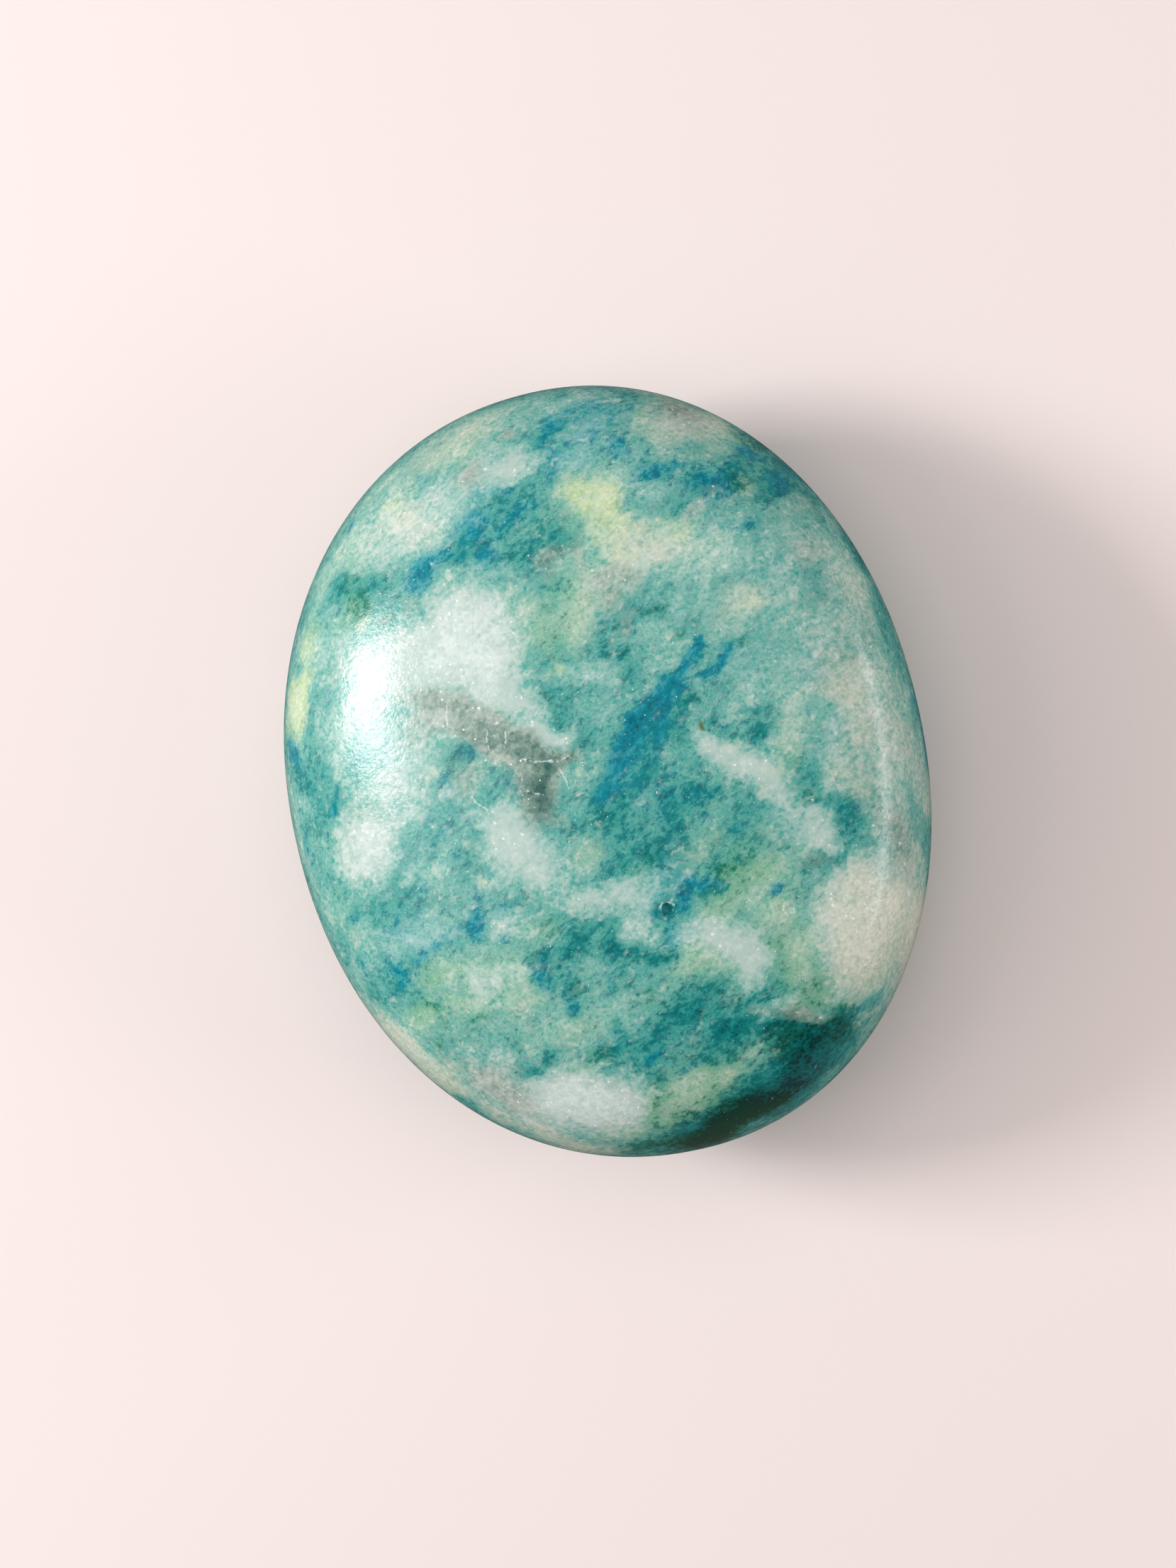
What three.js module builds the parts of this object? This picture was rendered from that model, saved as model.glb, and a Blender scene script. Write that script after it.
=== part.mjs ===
// A palm stone: one pebble-shaped piece of blue-green copper-bearing rock with white quartz,
// ground to an oval that fills the palm, domed on both faces and polished all over.
// It rests on a small flat spot ground into its underside.
//
// Millimetres, +Z up. +Y runs the long way of the oval and +X across it. The origin lies on
// the surface that the stone rests on, under the middle of the outline.
import * as THREE from "three";

// Driving dimensions
const LENGTH = 54; // the long way of the oval, along Y
const WIDTH = 44.8; // across the oval, along X
const THICKNESS = 22; // from the flat spot to the top of the face
const FLAT_SPOT_DEPTH = 0.35; // how much of the back's dome the flat spot takes away

// The outline seen from above: nearly an ellipse
const OUTLINE_SQUARENESS = 2.09; // 2 is an ellipse, more fills the corners
const OUTLINE_FULLNESS = 0.02; // the +X side is this share longer than the middle

// The grinding passes, as shares of the half width and the half thickness
const DOME_REACH = 1.085; // the domes would come down to the girdle's level this far out
const BEVEL_START = 1.13; // the bevels above and below the girdle would meet this far out
const BEVEL_LEAN = 0.3; // how fast the bevels lean in
const GIRDLE_ROUNDING = 0.3; // how broadly the upper bevel turns into the lower one

// How crisply the passes meet: the higher, the tighter the rounding between them.
// The polishing wheel left one crisper shoulder, on the right of the face.
const SIDE_MEETING = 6; // bevels with the girdle
const SOFT_MEETING = 5; // domes with the side, nearly everywhere
const CRISP_MEETING = 46; // domes with the side, at the crisp shoulder
const CRISP_SHOULDER = THREE.MathUtils.degToRad(-16); // its middle, from +X towards +Y
const CRISP_SPREAD = THREE.MathUtils.degToRad(42); // how far it runs to either side

// Hand grinding leaves the domes very slightly uneven
const UNEVENNESS = 0.006; // share of the distance from the stone's middle

// Fineness of the faceted surface
const SEGMENTS = 84; // around the outline
const RINGS = 44; // from the top of the face to the rim of the flat spot

// How crisply dome and side meet in the direction `around`, an angle from +X, and at `up`,
// which is 1 at the top of the face and -1 at the middle of the back.
function meetingAt(around, up) {
  const apart = Math.atan2(Math.sin(around - CRISP_SHOULDER), Math.cos(around - CRISP_SHOULDER));
  const crisp = Math.exp(-((apart / CRISP_SPREAD) ** 2)) * ((1 + up) / 2);
  return SOFT_MEETING + (CRISP_MEETING - SOFT_MEETING) * crisp;
}

// Joins two sizes by a power sum, which rounds the edge where two grinding passes meet.
function joined(size, otherSize, crispness) {
  return (size ** crispness + otherSize ** crispness) ** (1 / crispness);
}

// The size of the stone that would have a point on its surface, from `plan`, the size of the
// outline through that point, and from its height `up`. Each grinding pass bounds the stone
// by a size of its own.
function groundSize(plan, up, meeting) {
  const bevel = (plan + BEVEL_LEAN * Math.hypot(up, GIRDLE_ROUNDING * plan)) / BEVEL_START;
  const side = joined(plan, bevel, SIDE_MEETING);
  const dome = Math.hypot(plan / DOME_REACH, up);
  return joined(side, dome, meeting);
}

// A point of the stone before its flat spot is ground, in shares of its half sizes. `around`
// runs about Z from +X, and `down` from 0 at the top of the face to pi at the middle of the
// back. All sizes grow in proportion with the distance from the stone's middle, so the point
// lies where a direction of length 1 is divided by its size.
function groundPoint(around, down) {
  const across = Math.sin(down) * Math.cos(around);
  const along = Math.sin(down) * Math.sin(around);
  const up = Math.cos(down);
  const fullness = 1 + OUTLINE_FULLNESS * Math.cos(around);
  const outline =
    (Math.abs(across) ** OUTLINE_SQUARENESS + Math.abs(along / fullness) ** OUTLINE_SQUARENESS) **
    (1 / OUTLINE_SQUARENESS);
  const meeting = meetingAt(around, up);
  // The division keeps the widest level of the stone exactly on the outline
  const size = groundSize(outline / groundSize(1, 0, meeting), up, meeting);
  const wave = Math.sin(2 * around + 0.6) + 0.6 * Math.sin(3 * around + 2.1);
  const reach = (1 + UNEVENNESS * wave * Math.sin(2 * down) * Math.sin(down)) / size;
  return new THREE.Vector3(across, along, up).multiplyScalar(reach);
}

// The angle from the top, in the direction `around`, at which the back's dome falls to
// `level`. It is found by halving.
function downToLevel(around, level) {
  let above = Math.PI / 2;
  let below = Math.PI;
  for (let halving = 0; halving < 40; halving += 1) {
    const middle = (above + below) / 2;
    if (groundPoint(around, middle).z > level) above = middle;
    else below = middle;
  }
  return (above + below) / 2;
}

// The closed surface: one point on top, rings down to the rim of the flat spot, and a fan
// of triangles that fills the flat spot.
function stoneGeometry() {
  const flatLevel = groundPoint(0, Math.PI).z + FLAT_SPOT_DEPTH / (THICKNESS / 2);
  const points = [groundPoint(0, 0)];
  for (let ring = 1; ring <= RINGS; ring += 1) {
    for (let segment = 0; segment < SEGMENTS; segment += 1) {
      const around = (segment / SEGMENTS) * 2 * Math.PI;
      const rim = downToLevel(around, flatLevel);
      const point = groundPoint(around, (ring / RINGS) * rim);
      if (ring === RINGS) point.z = flatLevel;
      points.push(point);
    }
  }
  const flatMiddle = points.push(new THREE.Vector3(0, 0, flatLevel)) - 1;

  const at = (ring, segment) => 1 + (ring - 1) * SEGMENTS + (segment % SEGMENTS);
  const triangles = [];
  for (let segment = 0; segment < SEGMENTS; segment += 1) {
    triangles.push(0, at(1, segment), at(1, segment + 1));
    for (let ring = 1; ring < RINGS; ring += 1) {
      triangles.push(at(ring, segment), at(ring + 1, segment), at(ring + 1, segment + 1));
      triangles.push(at(ring, segment), at(ring + 1, segment + 1), at(ring, segment + 1));
    }
    triangles.push(at(RINGS, segment), flatMiddle, at(RINGS, segment + 1));
  }

  const geometry = new THREE.BufferGeometry().setFromPoints(points);
  geometry.setIndex(triangles);
  return geometry;
}

// Brings the surface to its driving sizes and stands it on the origin.
function broughtToSize(geometry) {
  const sizes = new THREE.Vector3();
  const middle = new THREE.Vector3();
  geometry.computeBoundingBox();
  geometry.boundingBox.getSize(sizes);
  geometry.boundingBox.getCenter(middle);
  geometry.translate(-middle.x, -middle.y, -geometry.boundingBox.min.z);
  geometry.scale(WIDTH / sizes.x, LENGTH / sizes.y, THICKNESS / sizes.z);
  geometry.computeVertexNormals();
  return geometry;
}

// Polished blue-green rock, glossy like wet stone
const polishedRock = new THREE.MeshStandardMaterial({
  color: 0x6fb3ac,
  roughness: 0.2,
  metalness: 0,
});

const stone = new THREE.Mesh(broughtToSize(stoneGeometry()), polishedRock);
stone.name = "palm_stone";

const group = new THREE.Group();
group.add(stone);

export default group;
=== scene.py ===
# %% [markdown]
# # A polished palm stone
# A palm stone is a piece of rock that was sawn, ground to a pebble and tumbled with finer and
# finer grit until it shines like wet stone. This one is a blue-green copper mineral grown through
# white and smoky quartz. The lesson builds its looks around a plain solid that already has the
# right size: a smooth surface, the pits the polish left, the minerals in it, and its gloss.
# The solid comes first, because everything else is measured against it.

# %% Load the solid
import math
import bmesh
import bpy
import numpy as np
from mathutils import Matrix, Vector


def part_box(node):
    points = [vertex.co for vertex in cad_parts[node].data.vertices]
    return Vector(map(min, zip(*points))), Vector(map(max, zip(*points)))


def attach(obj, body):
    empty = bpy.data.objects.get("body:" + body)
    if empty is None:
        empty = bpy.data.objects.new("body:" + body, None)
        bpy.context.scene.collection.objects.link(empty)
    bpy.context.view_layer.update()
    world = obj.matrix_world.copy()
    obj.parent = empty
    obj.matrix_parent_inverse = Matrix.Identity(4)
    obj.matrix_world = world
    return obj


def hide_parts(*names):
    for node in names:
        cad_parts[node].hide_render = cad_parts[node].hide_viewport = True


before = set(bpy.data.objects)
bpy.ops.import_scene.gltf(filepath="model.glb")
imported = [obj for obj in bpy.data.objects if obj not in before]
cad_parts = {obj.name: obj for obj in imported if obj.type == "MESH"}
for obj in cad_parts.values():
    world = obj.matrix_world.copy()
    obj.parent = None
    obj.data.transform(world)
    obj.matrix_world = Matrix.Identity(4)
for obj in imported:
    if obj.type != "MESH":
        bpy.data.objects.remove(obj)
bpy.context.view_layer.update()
MM = 0.001
stone_low, stone_high = (np.array(corner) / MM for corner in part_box("palm_stone"))
print("the stone is", np.round(stone_high - stone_low, 1), "mm")

# %% [markdown]
# ## The camera
# The stone lies face up and the camera looks down on it, leaning a little towards its +X side, so
# that the wall below the crisp shoulder shows. It is rolled, so the long way of the stone leans
# to the left in the picture. These two angles give the camera's three axes.

# %% Turn the camera
CAMERA_LEAN = math.radians(10)  # from straight above towards +X
CAMERA_ROLL = math.radians(13)

backward = np.array([math.sin(CAMERA_LEAN), 0, math.cos(CAMERA_LEAN)])
level_right = np.array([math.cos(CAMERA_LEAN), 0, -math.sin(CAMERA_LEAN)])
level_up = np.array([0.0, 1.0, 0.0])
picture_right = math.cos(CAMERA_ROLL) * level_right - math.sin(CAMERA_ROLL) * level_up
picture_up = math.sin(CAMERA_ROLL) * level_right + math.cos(CAMERA_ROLL) * level_up
print("the picture's right is", np.round(picture_right, 2), "and its up", np.round(picture_up, 2))

# %% [markdown]
# A long lens keeps the outline free of distortion. Its length follows from the distance and from
# how many pixels a millimetre takes. The camera is then moved sideways, until the middle of the
# stone's outline sits where the picture has it.

# %% Place the camera
PICTURE_PX = (1659, 2212)
OUTLINE_MIDDLE_PX = (857, 1088)
OUTLINE_MIDDLE_MM = (0.46, 0.22)  # right and up from the aim, as the picture shows it
PX_PER_MM = 20.32
CAMERA_DISTANCE = 260.0  # mm
AIM = np.array([0.0, 0.0, 12.0])  # mm, on the stone's own axis


def placed(place_mm, towards_viewer, up):
    """The matrix of a thing at a place that looks against one direction, with another one up."""
    side = np.cross(up, towards_viewer)
    side /= np.linalg.norm(side)
    turn = Matrix(np.stack([side, np.cross(towards_viewer, side), towards_viewer], axis=1).tolist())
    return Matrix.Translation(Vector(place_mm) * MM) @ turn.to_4x4()


camera_data = bpy.data.cameras.new("camera")
camera = bpy.data.objects.new("camera", camera_data)
bpy.context.collection.objects.link(camera)
bpy.context.scene.camera = camera
frame_height_mm = PICTURE_PX[1] / PX_PER_MM
camera_data.sensor_fit = "VERTICAL"
camera_data.sensor_height = 36.0
camera_data.lens = camera_data.sensor_height * CAMERA_DISTANCE / frame_height_mm
camera_data.clip_start = 0.01
off_right = OUTLINE_MIDDLE_MM[0] + (PICTURE_PX[0] / 2 - OUTLINE_MIDDLE_PX[0]) / PX_PER_MM
off_up = OUTLINE_MIDDLE_MM[1] + (OUTLINE_MIDDLE_PX[1] - PICTURE_PX[1] / 2) / PX_PER_MM
sideways_mm = off_right * picture_right + off_up * picture_up
camera_place = AIM + sideways_mm + CAMERA_DISTANCE * backward
camera.matrix_world = placed(camera_place, backward, picture_up)
print("lens", round(camera_data.lens, 1), "mm, picture", round(frame_height_mm, 1), "mm high")

# %% [markdown]
# ## Light and floor
# Colours are written as sRGB hex values, which is how a picture holds them, and Blender calculates
# with linear ones. A lamp is placed by two angles of the picture: how far it is off the line of
# sight, and its clock angle, counted from the picture's right towards its top.


# %% Turn colours and lamp angles into numbers
def linear(hex_colour):
    """An sRGB hex value as linear red, green, blue and alpha: the inverse of the sRGB curve."""
    shares = [int(hex_colour[at : at + 2], 16) / 255 for at in (1, 3, 5)]
    return [c / 12.92 if c <= 0.04045 else ((c + 0.055) / 1.055) ** 2.4 for c in shares] + [1.0]


def direction_to(off_sight, clock):
    """The direction that is off the line of sight by one angle, at a clock angle of the picture."""
    off_sight, clock = math.radians(off_sight), math.radians(clock)
    sideways = math.cos(clock) * picture_right + math.sin(clock) * picture_up
    return math.cos(off_sight) * backward + math.sin(off_sight) * sideways


print("mid grey is", round(linear("#808080")[0], 3), "of white")

# %% [markdown]
# The gloss of a pebble is read from a few reflections: a window on the left shoulder, and a thin
# line along the crisp shoulder on the right. Each lamp therefore stands where a mirror at that
# spot of the stone would look. The rest of the light is an overhead lamp, hidden from mirrors: it
# would lay a milky film over the whole gloss, where a few clear reflections show the polish better.


# %% Set up the lamps
def add_lamp(name, one_end, other_end, width_mm, distance, brightness, colour="#FFFFFF"):
    """An area lamp that faces the stone and stretches between two directions, each two angles.
    Brightness is that of its surface, where 1 is lit white paper. Blender takes watts instead:
    brightness times pi times the lamp's area."""
    one_end, other_end = direction_to(*one_end), direction_to(*other_end)
    outward = (one_end + other_end) / np.linalg.norm(one_end + other_end)
    lamp = bpy.data.lights.new(name, "AREA")
    lamp.shape, lamp.size = "RECTANGLE", width_mm * MM
    lamp.size_y = distance * np.linalg.norm(other_end - one_end) * MM
    lamp.energy = brightness * math.pi * lamp.size * lamp.size_y
    lamp.color = linear(colour)[:3]
    holder = bpy.data.objects.new(name, lamp)
    bpy.context.collection.objects.link(holder)
    holder.matrix_world = placed(AIM + distance * outward, outward, one_end - other_end)
    return holder


add_lamp("window", (70, 166), (63, 183), width_mm=115, distance=420, brightness=24)
add_lamp("window_glow", (56, 158), (48, 208), width_mm=330, distance=520, brightness=1.3)
add_lamp("shoulder_strip_low", (54, 2), (57, -24), width_mm=32, distance=330, brightness=12)
add_lamp("shoulder_strip_high", (78, 25), (54, 2), width_mm=32, distance=330, brightness=8)
overhead = add_lamp("overhead", (40, 120), (20, -60), width_mm=500, distance=600, brightness=1.0)
overhead.visible_glossy = False
print(len(bpy.data.lights), "lamps")

# %% [markdown]
# A dim, nearly white surround fills the shadows, hidden from mirrors for the same reason. The
# floor is one large square, and the camera sees nothing beyond it. The view transform Standard
# shows the colours as they are written, where a film look would dull them.

# %% Set up the surround and the floor
world = bpy.data.worlds.new("surround")
bpy.context.scene.world = world
world.use_nodes = True
surround = world.node_tree.nodes["Background"]
surround.inputs["Color"].default_value = linear("#F6F2F0")
surround.inputs["Strength"].default_value = 0.3
world.cycles_visibility.glossy = False
bpy.context.scene.view_settings.view_transform = "Standard"

floor_mesh = bpy.data.meshes.new("floor")
FLOOR_REACH_MM = 4000
FLOOR_LEVEL_MM = -0.01  # a hair below the stone, so that no two faces coincide
corners = [(-1, -1), (1, -1), (1, 1), (-1, 1)]
corners = [(x * FLOOR_REACH_MM * MM, y * FLOOR_REACH_MM * MM, FLOOR_LEVEL_MM * MM) for x, y in corners]
floor_mesh.from_pydata(corners, [], [(0, 1, 2, 3)])
floor = bpy.data.objects.new("floor", floor_mesh)
bpy.context.collection.objects.link(floor)
print("the floor reaches", FLOOR_REACH_MM, "mm to each side")

# %% [markdown]
# ## The shape
# Grinding is a few flat or round passes with soft edges between them: a wall around the outline,
# bevels above and below it, and a dome on each face. Each pass limits the stone, so each gives it
# a size, and the power sum of the sizes rounds the edge where two passes meet.

# %% Join the grinding passes
DOME_REACH = 1.085  # the domes would come down to the girdle's level this far out
BEVEL_START, BEVEL_LEAN = 1.13, 0.3  # where the bevels would meet, and how fast they lean in
GIRDLE_ROUNDING = 0.3  # how broadly the upper bevel turns into the lower one
SIDE_MEETING = 6  # bevels with the wall: the higher, the tighter the rounding


def joined(size, other_size, crispness):
    """Two sizes as one: the root of the sum of their powers, which rounds the edge between them."""
    return (size**crispness + other_size**crispness) ** (1 / crispness)


def ground_size(plan, up, meeting):
    """Wall, bevels and dome joined: plan is the outline's size through a point, up its height."""
    bevel = (plan + BEVEL_LEAN * np.hypot(up, GIRDLE_ROUNDING * plan)) / BEVEL_START
    side = joined(plan, bevel, SIDE_MEETING)
    return joined(side, np.hypot(plan / DOME_REACH, up), meeting)


print("the size at the rim is", round(ground_size(1.0, 0.0, SIDE_MEETING), 3))

# %% [markdown]
# The stone is then a function of a direction: go out from the middle until the joined size is 1.
# That way the surface has no poles to hide and can be made as fine as needed anywhere. How crisply
# dome and wall meet depends on the direction, because the polishing wheel left one crisper
# shoulder, on the right of the face. Grinding by hand also leaves the domes very slightly uneven.

# %% Turn directions into points of the stone
OUTLINE_SQUARENESS = 2.09  # 2 is an ellipse
OUTLINE_FULLNESS = 0.02  # how much longer the +X side is
SOFT_MEETING, CRISP_MEETING = 5, 46  # domes with the wall, elsewhere and at the crisp shoulder
CRISP_SHOULDER, CRISP_SPREAD = math.radians(-16), math.radians(42)  # its middle and its reach
UNEVENNESS = 0.006  # share of the distance from the stone's middle
FLAT_SPOT_MM = 0.35  # how much of the underside's dome the flat spot takes away


def ground_points(direction):
    """Directions of length 1 as points on the stone: each is divided by its joined size."""
    across, along, up = direction.T
    around = np.arctan2(along, across)
    apart = np.arctan2(np.sin(around - CRISP_SHOULDER), np.cos(around - CRISP_SHOULDER))
    crisp = np.exp(-((apart / CRISP_SPREAD) ** 2)) * (1 + up) / 2
    meeting = SOFT_MEETING + (CRISP_MEETING - SOFT_MEETING) * crisp
    fuller = 1 + OUTLINE_FULLNESS * np.cos(around)
    outline = np.abs(across) ** OUTLINE_SQUARENESS + np.abs(along / fuller) ** OUTLINE_SQUARENESS
    outline **= 1 / OUTLINE_SQUARENESS
    size = ground_size(outline / ground_size(1.0, 0.0, meeting), up, meeting)
    wave = np.sin(2 * around + 0.6) + 0.6 * np.sin(3 * around + 2.1)  # two slow waves, out of step
    down = np.arccos(np.clip(up, -1, 1))
    reach = (1 + UNEVENNESS * wave * np.sin(2 * down) * np.sin(down)) / size
    return direction * reach[:, None]


def stone_points(direction):
    """Points in mm: the ground surface with its flat spot, stretched to the solid's own box."""
    points = ground_points(direction)
    half_height = (stone_high[2] - stone_low[2]) / 2
    flat_level = ground_points(np.array([[0.0, 0.0, -1.0]]))[0, 2] + FLAT_SPOT_MM / half_height
    points[:, 2] = np.maximum(points[:, 2], flat_level)
    low, high = points.min(axis=0), points.max(axis=0)
    return stone_low + (points - low) / (high - low) * (stone_high - stone_low)


dome_top = ground_points(np.array([[0.0, 0.0, 1.0]]))[0, 2]
print("before it is stretched, the face rises to", round(float(dome_top), 4), "half heights")

# %% [markdown]
# ## The grid
# A globe's grid of meridians would crowd at the top, in the middle of the view. Six square grids,
# one for each side of a cube, blown up to a ball, have no pole and give faces of nearly one size.
# The grid lines are spaced by equal angles, and the corners that neighbouring squares share are
# merged, so the ball is closed.

# %% Blow up a cube to a ball
GRID = 118  # faces along each side of the cube


def ball_grid(count):
    """Corners and quads of a ball: on each side of a cube, u and v run over equal angles, the
    point is (tan u, tan v, 1) turned to that side, and its direction is kept at length 1."""
    u, v = np.meshgrid(*[np.tan(np.linspace(-math.pi / 4, math.pi / 4, count + 1))] * 2)
    one = np.ones_like(u)
    sides = [(u, v, one), (v, u, -one), (one, u, v), (-one, v, u), (v, one, u), (u, -one, v)]
    corners = np.concatenate([np.stack(side, axis=-1).reshape(-1, 3) for side in sides])
    place = np.arange((count + 1) ** 2).reshape(count + 1, count + 1)
    quad = np.stack([place[:-1, :-1], place[:-1, 1:], place[1:, 1:], place[1:, :-1]], axis=-1)
    quads = np.concatenate([quad.reshape(-1, 4) + side * place.size for side in range(6)])
    _, first, merged = np.unique(
        np.round(corners, 6), axis=0, return_index=True, return_inverse=True
    )
    corners = corners[first]
    return corners / np.linalg.norm(corners, axis=1, keepdims=True), merged.reshape(-1)[quads]


directions, quads = ball_grid(GRID)
mesh = bpy.data.meshes.new("polished_stone")
mesh.from_pydata(directions, [], quads)
print(len(directions), "corners,", len(quads), "quads")

# %% [markdown]
# ## Natural pits
# No polish closes every hole in a rock. A few pits stay: one hollow about a millimetre wide and
# some tiny bubbles. Thin cracks that quartz has healed leave light hairlines. Two more light
# lines, curved along the rims of the open hollow and of a pit, are painted glints where the rim
# catches the light. Each is listed at its place on the face, seen from straight above.

# %% List the pits and hairlines
PITS = {  # x, y, radius and depth in mm
    "open_hollow": (3.95, -9.85, 0.52, 0.34),
    "hollow_lip": (3.4, -9.55, 0.24, 0.12),
    "bubble_by_the_blue": (6.6, 20.3, 0.22, 0.1),
    "ring_right": (11.75, -11.6, 0.3, 0.06),
    "glint_in_green": (9.3, 3.3, 0.13, 0.06),
    "pit_bottom_left": (-8.3, -15.7, 0.16, 0.08),
    "pit_far_left": (-12.5, -15.7, 0.2, 0.08),
    "ring_centre": (-1.3, -8.5, 0.26, 0.07),
    "pit_in_white": (-1.5, -3.9, 0.1, 0.07),
    "speck_at_the_foot": (-0.6, -25.2, 0.16, 0.06),
    "pit_in_teal": (1.45, -2.8, 0.12, 0.06),
    "pit_left": (-8.4, -3.2, 0.12, 0.06),
    "pit_top_left": (-6.9, 16.4, 0.2, 0.07),
    "pit_by_the_window": (15.9, 7.0, 0.14, 0.06),
    "pit_in_the_grey": (-3.7, 0.9, 0.16, 0.12),
    "rusty_speck": (9.15, 1.7, 0.24, 0.03),
}
HAIRLINES_AND_RIM_GLINTS = [  # thin light cracks and ring marks, each a line through a few places
    [(-3.9, 0.1), (-3.4, 0.05), (-3.0, -0.25), (-2.3, -0.5)],
    [(-7.3, 0.5), (-7.1, 0.0), (-6.5, -0.5), (-6.0, -0.9)],
    [(-4.0, 4.2), (-4.1, 3.6), (-4.3, 3.1)],
    [(-5.2, 4.6), (-5.4, 3.9), (-5.4, 3.3)],
    [(-7.6, 6.8), (-7.8, 6.1), (-7.9, 5.5)],
    [(-3.3, 2.2), (-2.5, 1.8), (-1.8, 1.7), (-0.9, 1.5), (0.0, 1.7)],
    [(-0.9, 0.9), (-0.7, 0.2), (-0.7, -0.5)],
    # The last two lines are not cracks: they are painted glints along the rims of the open hollow and of
    # the pit ring_right.
    [(3.4, -9.65), (3.7, -9.35), (4.15, -9.3), (4.45, -9.6)],
    [(11.5, -11.2), (11.35, -11.6), (11.6, -11.95), (12.0, -11.9), (12.1, -11.5)],
]
print(len(PITS), "pits and", len(HAIRLINES_AND_RIM_GLINTS), "hairlines")

# %% [markdown]
# Pits and hairlines are smaller than the grid's faces, and a grid that is fine enough for them
# everywhere would be very heavy. So the ball is cut finer just there: a pit needs corners to bend,
# and a hairline needs them to hold its distance. The cuts come before the corners are moved out to
# the stone's surface, so it stays perfectly round between the new ones.


# %% Cut the ball finer there
def on_the_face(x, y, points):
    """The point of the face at x and y: of the corners above the girdle, the nearest in plan."""
    below = points[:, 2] <= (stone_low[2] + stone_high[2]) / 2
    off = np.hypot(points[:, 0] - x, points[:, 1] - y)
    return points[np.where(below, np.inf, off).argmin()]


def cut_finer(mesh, centres_mm, reaches_mm, cuts):
    """Divides every edge that has an end within reach of a centre, and cuts what then has more
    than four corners into triangles."""
    sharp = np.empty(len(mesh.vertices) * 3)
    mesh.vertices.foreach_get("co", sharp)
    points = stone_points(sharp.reshape(-1, 3))
    near = np.zeros(len(points), bool)
    for centre, reach_mm in zip(centres_mm, reaches_mm):
        near |= np.linalg.norm(points - centre, axis=1) < reach_mm
    ends = np.empty(len(mesh.edges) * 2, int)
    mesh.edges.foreach_get("vertices", ends)
    chosen = np.flatnonzero(near[ends.reshape(-1, 2)].any(axis=1))
    worked = bmesh.new()
    worked.from_mesh(mesh)
    worked.edges.ensure_lookup_table()
    edges = [worked.edges[index] for index in chosen]
    bmesh.ops.subdivide_edges(worked, edges=edges, cuts=cuts, use_grid_fill=True)
    bmesh.ops.triangulate(worked, faces=[face for face in worked.faces if len(face.verts) > 4])
    worked.to_mesh(mesh)
    worked.free()


PIT_REACH, PIT_MARGIN_MM = 1.3, 0.3  # in radii, and beyond that
HAIRLINE_REACH_MM = 0.35
first_points = stone_points(directions)
centres = [on_the_face(x, y, first_points) for x, y, radius, depth in PITS.values()]
reaches = [PIT_REACH * radius + PIT_MARGIN_MM for x, y, radius, depth in PITS.values()]
for line in HAIRLINES_AND_RIM_GLINTS:
    for (x, y), (next_x, next_y) in zip(line[:-1], line[1:]):
        for share in (0.0, 0.5, 1.0):
            place = x + share * (next_x - x), y + share * (next_y - y)
            centres.append(on_the_face(*place, first_points))
            reaches.append(HAIRLINE_REACH_MM)
cut_finer(mesh, centres, reaches, cuts=5)
print(len(mesh.vertices), "corners after the cuts")

# %% [markdown]
# Each corner's direction is now brought back to length 1 and sent out to the stone's surface, all
# of them in one step. A pit is a dent with a steep side and a flat bottom, sunk nearly straight
# down into the face.

# %% Move the corners out to the stone
corner_count = len(mesh.vertices)
directions = np.empty(corner_count * 3)
mesh.vertices.foreach_get("co", directions)
directions = directions.reshape(-1, 3)
directions /= np.linalg.norm(directions, axis=1, keepdims=True)
points = stone_points(directions)


def smooth_step(low, high, value):
    """0 below low, 1 above high, and an S-shaped ease between them."""
    share = np.clip((value - low) / (high - low), 0, 1)
    return share * share * (3 - 2 * share)


PIT_BOTTOM = 0.55  # share of a pit's radius that its flat bottom takes
PIT_LUMPINESS = 0.16  # how far the rim leaves the circle
SINK = [0.3, 0.3, 1]  # pits sink mostly straight down, as the face is nearly level there


def sunk(points):
    """The points with every pit pressed in: depth times an ease from the rim to the bottom. The
    rim swings in and out three times around, shifted by the pit's own place."""
    middle = np.array([0, 0, (stone_low[2] + stone_high[2]) / 2])
    inward = (middle - points) * SINK
    inward /= np.linalg.norm(inward, axis=1, keepdims=True)
    depth_here = np.zeros(len(points))
    for x, y, radius, depth in PITS.values():
        offset = points - on_the_face(x, y, points)
        lumpy = 1 + PIT_LUMPINESS * np.sin(3 * np.arctan2(offset[:, 1], offset[:, 0]) + 7 * x)
        away = np.linalg.norm(offset, axis=1) / (radius * lumpy)
        depth_here = np.maximum(depth_here, depth * (1 - smooth_step(PIT_BOTTOM, 1.0, away)))
    return points + inward * depth_here[:, None], depth_here


surface, pit_depth = sunk(points)
mesh.vertices.foreach_set("co", (surface * MM).ravel())
mesh.polygons.foreach_set("use_smooth", np.ones(len(mesh.polygons), bool))
mesh.update()
stone = bpy.data.objects.new("polished_stone", mesh)
bpy.context.collection.objects.link(stone)
print("deepest pit", round(float(pit_depth.max()), 2), "mm")

# %% [markdown]
# ## Minerals
# The rock is one body with many minerals grown through each other. Each is laid down as clouds
# and veins at places on the face, with a size, a lean and a strength. Eight values are kept at
# every corner of the mesh: how pale the rock is, and how much quartz, blue, green, yellow, cream,
# smoke or rust is in it. The outlines of the clouds are bent by noise, made here by a lattice of
# random numbers that is blended smoothly. A material can break an edge into grains later, but it
# can't bend a whole cloud.

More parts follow.
